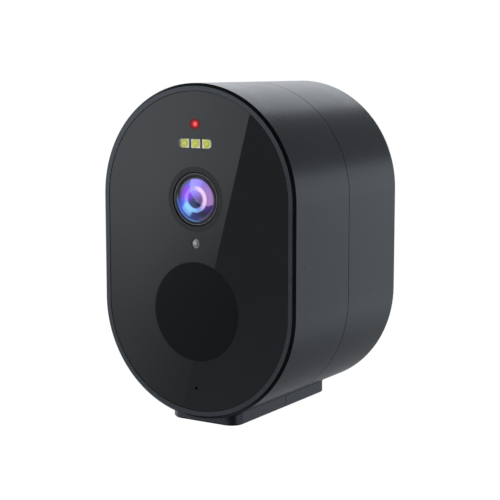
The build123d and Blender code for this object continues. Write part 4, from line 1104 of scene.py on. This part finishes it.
class CAMERA_OT_inside(bpy.types.Operator):
    """Dress what lies inside the shells"""
    bl_idname = "battery_camera.inside"
    bl_label = "Inside"

    def execute(self, context):
        settings = context.scene.camera_inside
        dress(board_finish("green_board", settings.board, (0.02, 0.17, 0.06)), "main_board")
        dress(board_finish("white_board", (0.72, 0.72, 0.70), (0.60, 0.60, 0.58)), "led_board")
        dress(moulded("chip_resin", (0.018, 0.018, 0.020), roughness=0.45, grain=0.08 * MM),
              "soc_chip", "light_sensor")
        dress(self.sensor_finish(), "image_sensor")
        dress(brushed("shield_can", (0.62, 0.62, 0.62), roughness=0.32, stretch=(0.05, 1, 1)),
              "wifi_module", "wifi_antenna")
        dress(brushed("sensor_can", (0.66, 0.64, 0.60), roughness=0.28), "pir_sensor", "microphone")
        dress(brushed("nickel_spring", (0.62, 0.60, 0.55), roughness=0.25), "battery_contacts")
        dress(moulded("inner_moulding", (0.022, 0.022, 0.024), roughness=0.5),
              "lens_holder", "battery_cradle", "speaker_frame", "ir_cut_rotor", "ir_cut_slider")
        dress(clear("infrared_filter", (0.30, 0.72, 0.78), roughness=0.05, alpha=0.55),
              "ir_cut_filter", "pir_sensor_window")
        dress(clear("clear_filter_glass", (0.9, 0.93, 0.93), roughness=0.04, alpha=0.25), "clear_filter")
        dress(self.coil_finish(), "ir_cut_coil")
        dress(self.ribbon_finish(), "led_ribbon")
        dress(rubbed("boot_rubber", (0.03, 0.03, 0.032)), "mic_boot", "speaker_gasket")
        dress(self.paper_finish(), "speaker_cone")
        dress(moulded("magnet_cup", (0.18, 0.18, 0.18), roughness=0.4), "speaker_magnet")
        dress(self.wrap_finish(settings), "battery_cells")
        dress(moulded("white_plug", (0.70, 0.69, 0.66), roughness=0.45), "lead_plugs")
        dress(rubbed("lead_insulation", (0.30, 0.02, 0.02), roughness=0.5), "inner_leads")
        return {"FINISHED"}

    def sensor_finish(self):
        """Image sensor: dark iridescent window in a matt frame."""
        centre = middle_of("image_sensor")
        half_width = 3.0 * MM
        half_height = 2.4 * MM
        finish = Finish("image_sensor_window")
        across, _, level = finish.place()
        edge = (abs(across - centre.x) / half_width).at_least(abs(level - centre.z) / half_height)
        frame_mask = edge.fade(0.98, 1.02)
        bands_across = 900
        bands_up = 600
        shift = (across * bands_across + level * bands_up).wave(2.0)
        window = finish.mix(shift, (0.03, 0.06, 0.05), (0.08, 0.03, 0.07))
        finish.feed("Base Color", finish.mix(frame_mask, window, (0.02, 0.02, 0.02)))
        finish.feed("Roughness", 0.08 + 0.4 * frame_mask)
        return finish

    def coil_finish(self):
        """Enamelled wire, wound close."""
        finish = Finish("enamelled_wire", Metallic=0.9)
        across = finish.place()[0]
        turns = across.wave(0.16 * MM)
        finish.feed("Base Color", finish.mix(turns, (0.36, 0.11, 0.04), (0.78, 0.32, 0.13)))
        finish.feed("Roughness", 0.3 + 0.1 * turns)
        finish.bump(turns, 0.04 * MM)
        return finish

    def ribbon_finish(self):
        """Flat ribbon with copper tracks under its film."""
        finish = Finish("flat_ribbon")
        tracks = finish.place()[0].wave(0.5 * MM).fade(0.45, 0.6)
        finish.feed("Base Color", finish.mix(tracks, (0.72, 0.70, 0.64), (0.52, 0.36, 0.18)))
        finish.feed("Roughness", 0.4 - 0.1 * tracks)
        finish.bump(tracks, 0.02 * MM)
        return finish

    def paper_finish(self):
        """Treated paper with short fibres."""
        finish = Finish("cone_paper")
        finish.mottle((0.03, 0.03, 0.03), spread=0.25, size=0.5 * MM)
        finish.worn(0.75, spread=0.08, size=0.4 * MM)
        finish.bump(finish.noise(0.25 * MM, detail=4.0, stretch=(1, 1, 0.3)), 0.03 * MM)
        return finish

    def wrap_finish(self, settings):
        """Shrink wrap with a lighter band at the cap end."""
        finish = Finish("shrink_wrap")
        level = finish.place()[2]
        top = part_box("battery_cells")[1].z
        metal = level.fade(top - 1.25 * MM, top - 1.15 * MM)
        band = level.fade(top - 3.6 * MM, top - 3.4 * MM)
        colour = finish.mix(band, settings.wrap, (0.75, 0.75, 0.72))
        finish.feed("Base Color", finish.mix(metal, colour, (0.62, 0.60, 0.56)))
        finish.feed("Metallic", metal)
        finish.feed("Roughness", 0.28 + 0.08 * finish.noise(3 * MM))
        finish.bump(finish.noise(6 * MM, detail=1.0, stretch=(1, 1, 0.2)), 0.03 * MM)
        return finish


def only_gloss(item, colour, strength):
    """Studio card that only the gloss of the object sees, with a strength over its surface."""
    material = bpy.data.materials.new(item.name)
    material.use_nodes = True
    material.node_tree.nodes.clear()
    nodes = Nodes(material.node_tree)
    glow = nodes.add("ShaderNodeEmission", sockets={
        "Color": (*colour, 1), "Strength": strength(nodes)})
    nodes.add("ShaderNodeOutputMaterial", sockets={"Surface": glow})
    item.data.materials.append(material)
    item.visible_camera = False
    item.visible_diffuse = False
    item.visible_transmission = False
    item.visible_volume_scatter = False
    item.visible_shadow = False


def flat_card(name, corners):
    """Flat card between given corners."""
    builder = bmesh.new()
    builder.faces.new([builder.verts.new(corner) for corner in corners])
    return placed(name, finish_mesh(builder, name))


def aimed(name, data, place, target):
    """Light or camera at a place, turned towards a target."""
    item = bpy.data.objects.new(name, data)
    bpy.context.scene.collection.objects.link(item)
    item.location = place
    item.rotation_mode = "QUATERNION"
    item.rotation_quaternion = (Vector(target) - Vector(place)).to_track_quat("-Z", "Y")
    return item


class CAMERA_OT_stage(bpy.types.Operator):
    """Set up the floor, the studio light and the camera"""
    bl_idname = "battery_camera.stage"
    bl_label = "Stage"

    def execute(self, context):
        scene = context.scene
        settings = scene.camera_stage
        scene.view_settings.view_transform = "Standard"
        self.set_world(scene, settings)
        self.lay_floor()
        self.hang_flags(settings)
        self.place_softbox_card(settings)
        self.place_lamps(settings)
        self.place_camera(scene, settings)
        return {"FINISHED"}

    def set_world(self, scene, settings):
        """White to the eye and in reflections, and a low even fill for the object."""
        world = bpy.data.worlds.new("white_studio")
        world.use_nodes = True
        scene.world = world
        nodes = Nodes(world.node_tree)
        seen = nodes.seen()
        background = world.node_tree.nodes["Background"]
        background.inputs["Color"].default_value = (1, 1, 1, 1)
        world.node_tree.links.new((seen + (1 - seen) * settings.fill).socket, background.inputs["Strength"])

    def lay_floor(self):
        """Pale floor that looks white, keeps a faint shadow and is clear from below and under the foot."""
        reach = 2.0
        level = -0.02 * MM
        white_level = 1.17
        white_share = 0.85
        foot_low = Vector((-10.5 * MM, -25.3 * MM, level))
        foot_high = Vector((10.5 * MM, 22.0 * MM, level))
        builder = bmesh.new()
        loops = []
        for low, high in ((Vector((-reach, -reach, level)), Vector((reach, reach, level))),
                          (foot_low, foot_high)):
            corners = ((low.x, low.y), (high.x, low.y), (high.x, high.y), (low.x, high.y))
            loops.append([builder.verts.new((*corner, level)) for corner in corners])
        for side in range(4):
            after = (side + 1) % 4
            builder.faces.new((loops[0][side], loops[0][after], loops[1][after], loops[1][side]))
        floor = placed("pale_floor", finish_mesh(builder, "pale_floor"))
        material = bpy.data.materials.new("pale_floor")
        material.use_nodes = True
        nodes = Nodes(material.node_tree)
        material.node_tree.nodes.clear()
        grain = nodes.noise(40 * MM)
        pale = nodes.mix(grain, (0.80, 0.80, 0.80), (0.84, 0.84, 0.84))
        lit = nodes.add("ShaderNodeBsdfDiffuse", sockets={"Color": pale})
        white = nodes.add("ShaderNodeEmission", sockets={"Color": (1, 1, 1, 1), "Strength": white_level})
        shown = nodes.add("ShaderNodeMixShader", sockets={0: nodes.seen() * white_share, 1: lit, 2: white})
        behind = nodes.add("ShaderNodeNewGeometry", output="Backfacing")
        open_air = nodes.add("ShaderNodeBsdfTransparent")
        one_sided = nodes.add("ShaderNodeMixShader", sockets={0: behind, 1: shown, 2: open_air})
        nodes.add("ShaderNodeOutputMaterial", sockets={"Surface": one_sided})
        floor.data.materials.append(material)
        floor.visible_glossy = False

    def hang_flags(self, settings):
        """Surround for the gloss: dark in front, overhead and below, pale behind, bright at both sides."""
        radius = 1.6
        builder = bmesh.new()
        bmesh.ops.create_uvsphere(builder, u_segments=72, v_segments=36, radius=radius)
        surround = placed("dark_surround", finish_mesh(builder, "dark_surround"))

        def shades(nodes):
            across, depth, level = nodes.place()
            back = depth.fade(-0.3, 0.3) * across.fade(-1.2, -1.0)
            dark = settings.dark_level * (1 - 0.9 * across.fade(-0.5, 0.5) * depth.drop(-0.3, 0.3))
            dark = dark * (1 - 0.85 * level.fade(0.8, 1.2)) * (1 + 0.3 * level.drop(-0.45, -0.2))
            low_front = level.band(-1.0, -0.8, -0.62, -0.5) * depth.drop(-0.6, -0.2) * across.drop(-0.1, 0.3)
            low_back = back * level.drop(-0.3, 0.2)
            pale = (0.28 + 0.54 * level.fade(-0.85, -0.3)) * (0.1 + 0.9 * level.fade(-1.3, -0.95))
            shade = (dark + 0.8 * low_front) * (1 - low_back) + pale * low_back
            horizon = back * level.band(-0.13, -0.09, 0.31, 0.35)
            beside = abs(across).fade(1.2, 1.4) * abs(depth).drop(0.4, 0.65)
            beside = beside * abs(level + 0.15).drop(0.25, 0.6)
            return (shade * (1 - horizon) + horizon).at_least(beside * 1.4)

        only_gloss(surround, (0.89, 0.945, 1), shades)

    def place_softbox_card(self, settings):
        """Softbox to the front left, where the face mirrors it, its edge slanting across the face."""
        eye = Vector(settings.camera_place)
        image = Vector((eye.x, 2 * PANEL_FRONT - eye.y, eye.z))
        depth = -0.2
        share = (PANEL_FRONT - image.y) / (depth - image.y)
        edge_foot = -5.9 * MM
        edge_slope = 0.269

        def behind(x, z):
            """Point of the card that the face mirrors at a place on it."""
            point = Vector((x, PANEL_FRONT, z))
            return image + (point - image) / share

        low = -40 * MM
        high = 130 * MM
        left = -90 * MM
        card = flat_card("softbox_cloth", [
            behind(edge_foot + edge_slope * high, high), behind(edge_foot + edge_slope * low, low),
            behind(left, low), behind(left, high)])

        def cloth(nodes):
            across, _, level = nodes.place()
            face_x = image.x + (across - image.x) * share
            face_z = image.z + (level - image.z) * share
            inside = edge_foot + edge_slope * face_z - face_x
            bright = 0.22 + 0.78 * face_z.fade(5 * MM, 80 * MM)
            edge = 0.08 + 0.62 * face_z.fade(12 * MM, 80 * MM)
            spread = edge + (1 - edge) * inside.fade(-4 * MM, 30 * MM)
            dark = settings.dark_level * (1.3 - 0.3 * face_z.fade(10 * MM, 45 * MM))
            return dark + settings.card_level * bright * spread

        only_gloss(card, (0.95, 0.975, 1), cloth)

    def place_lamps(self, settings):
        """Key softbox at the front left and a softbox above the back, which the gloss shows."""
        self.softbox("key_softbox", (-0.66, -0.50, 0.12), width=0.5, height=0.5, power=settings.key_power)
        top = self.softbox(
            "top_softbox", (-0.33, 0.84, 0.48), width=0.62, height=0.5, power=settings.top_power)
        top.visible_glossy = True

    def softbox(self, name, place, width, height, power):
        """Area light towards the object that neither the camera nor the gloss shows."""
        lamp = bpy.data.lights.new(name, "AREA")
        lamp.shape = "RECTANGLE"
        lamp.size = width
        lamp.size_y = height
        lamp.energy = power
        lamp.color = (0.93, 0.965, 1)
        item = aimed(name, lamp, place, BODY_MIDDLE)
        item.visible_camera = False
        item.visible_glossy = False
        return item

    def place_camera(self, scene, settings):
        """Camera where the picture was taken from."""
        lens = bpy.data.cameras.new("photo_camera")
        lens.lens = settings.focal_length
        lens.sensor_width = 36
        lens.clip_start = 0.01
        lens.clip_end = 20
        scene.camera = aimed("photo_camera", lens, settings.camera_place, settings.camera_target)


OPERATORS = (
    CAMERA_OT_housing,
    CAMERA_OT_face,
    CAMERA_OT_lens,
    CAMERA_OT_lamps,
    CAMERA_OT_mount,
    CAMERA_OT_ports,
    CAMERA_OT_inside,
    CAMERA_OT_stage,
)


class CAMERA_PT_looks(bpy.types.Panel):
    """Lists the pieces of the camera"""
    bl_idname = "CAMERA_PT_looks"
    bl_label = "Battery Camera"
    bl_space_type = "VIEW_3D"
    bl_region_type = "UI"
    bl_category = "Battery Camera"

    def draw(self, context):
        for operator in OPERATORS:
            self.layout.operator(operator.bl_idname)


def register():
    for settings in SETTINGS.values():
        bpy.utils.register_class(settings)
    for name, settings in SETTINGS.items():
        setattr(bpy.types.Scene, name, PointerProperty(type=settings))
    for operator in OPERATORS:
        bpy.utils.register_class(operator)
    bpy.utils.register_class(CAMERA_PT_looks)


def unregister():
    bpy.utils.unregister_class(CAMERA_PT_looks)
    for operator in reversed(OPERATORS):
        bpy.utils.unregister_class(operator)
    for name in SETTINGS:
        delattr(bpy.types.Scene, name)
    for settings in reversed(SETTINGS.values()):
        bpy.utils.unregister_class(settings)


def main():
    register()
    bpy.ops.battery_camera.housing()
    bpy.ops.battery_camera.face()
    bpy.ops.battery_camera.lens()
    bpy.ops.battery_camera.lamps()
    bpy.ops.battery_camera.mount()
    bpy.ops.battery_camera.ports()
    bpy.ops.battery_camera.inside()
    bpy.ops.battery_camera.stage()


if __name__ == "__main__":
    main()
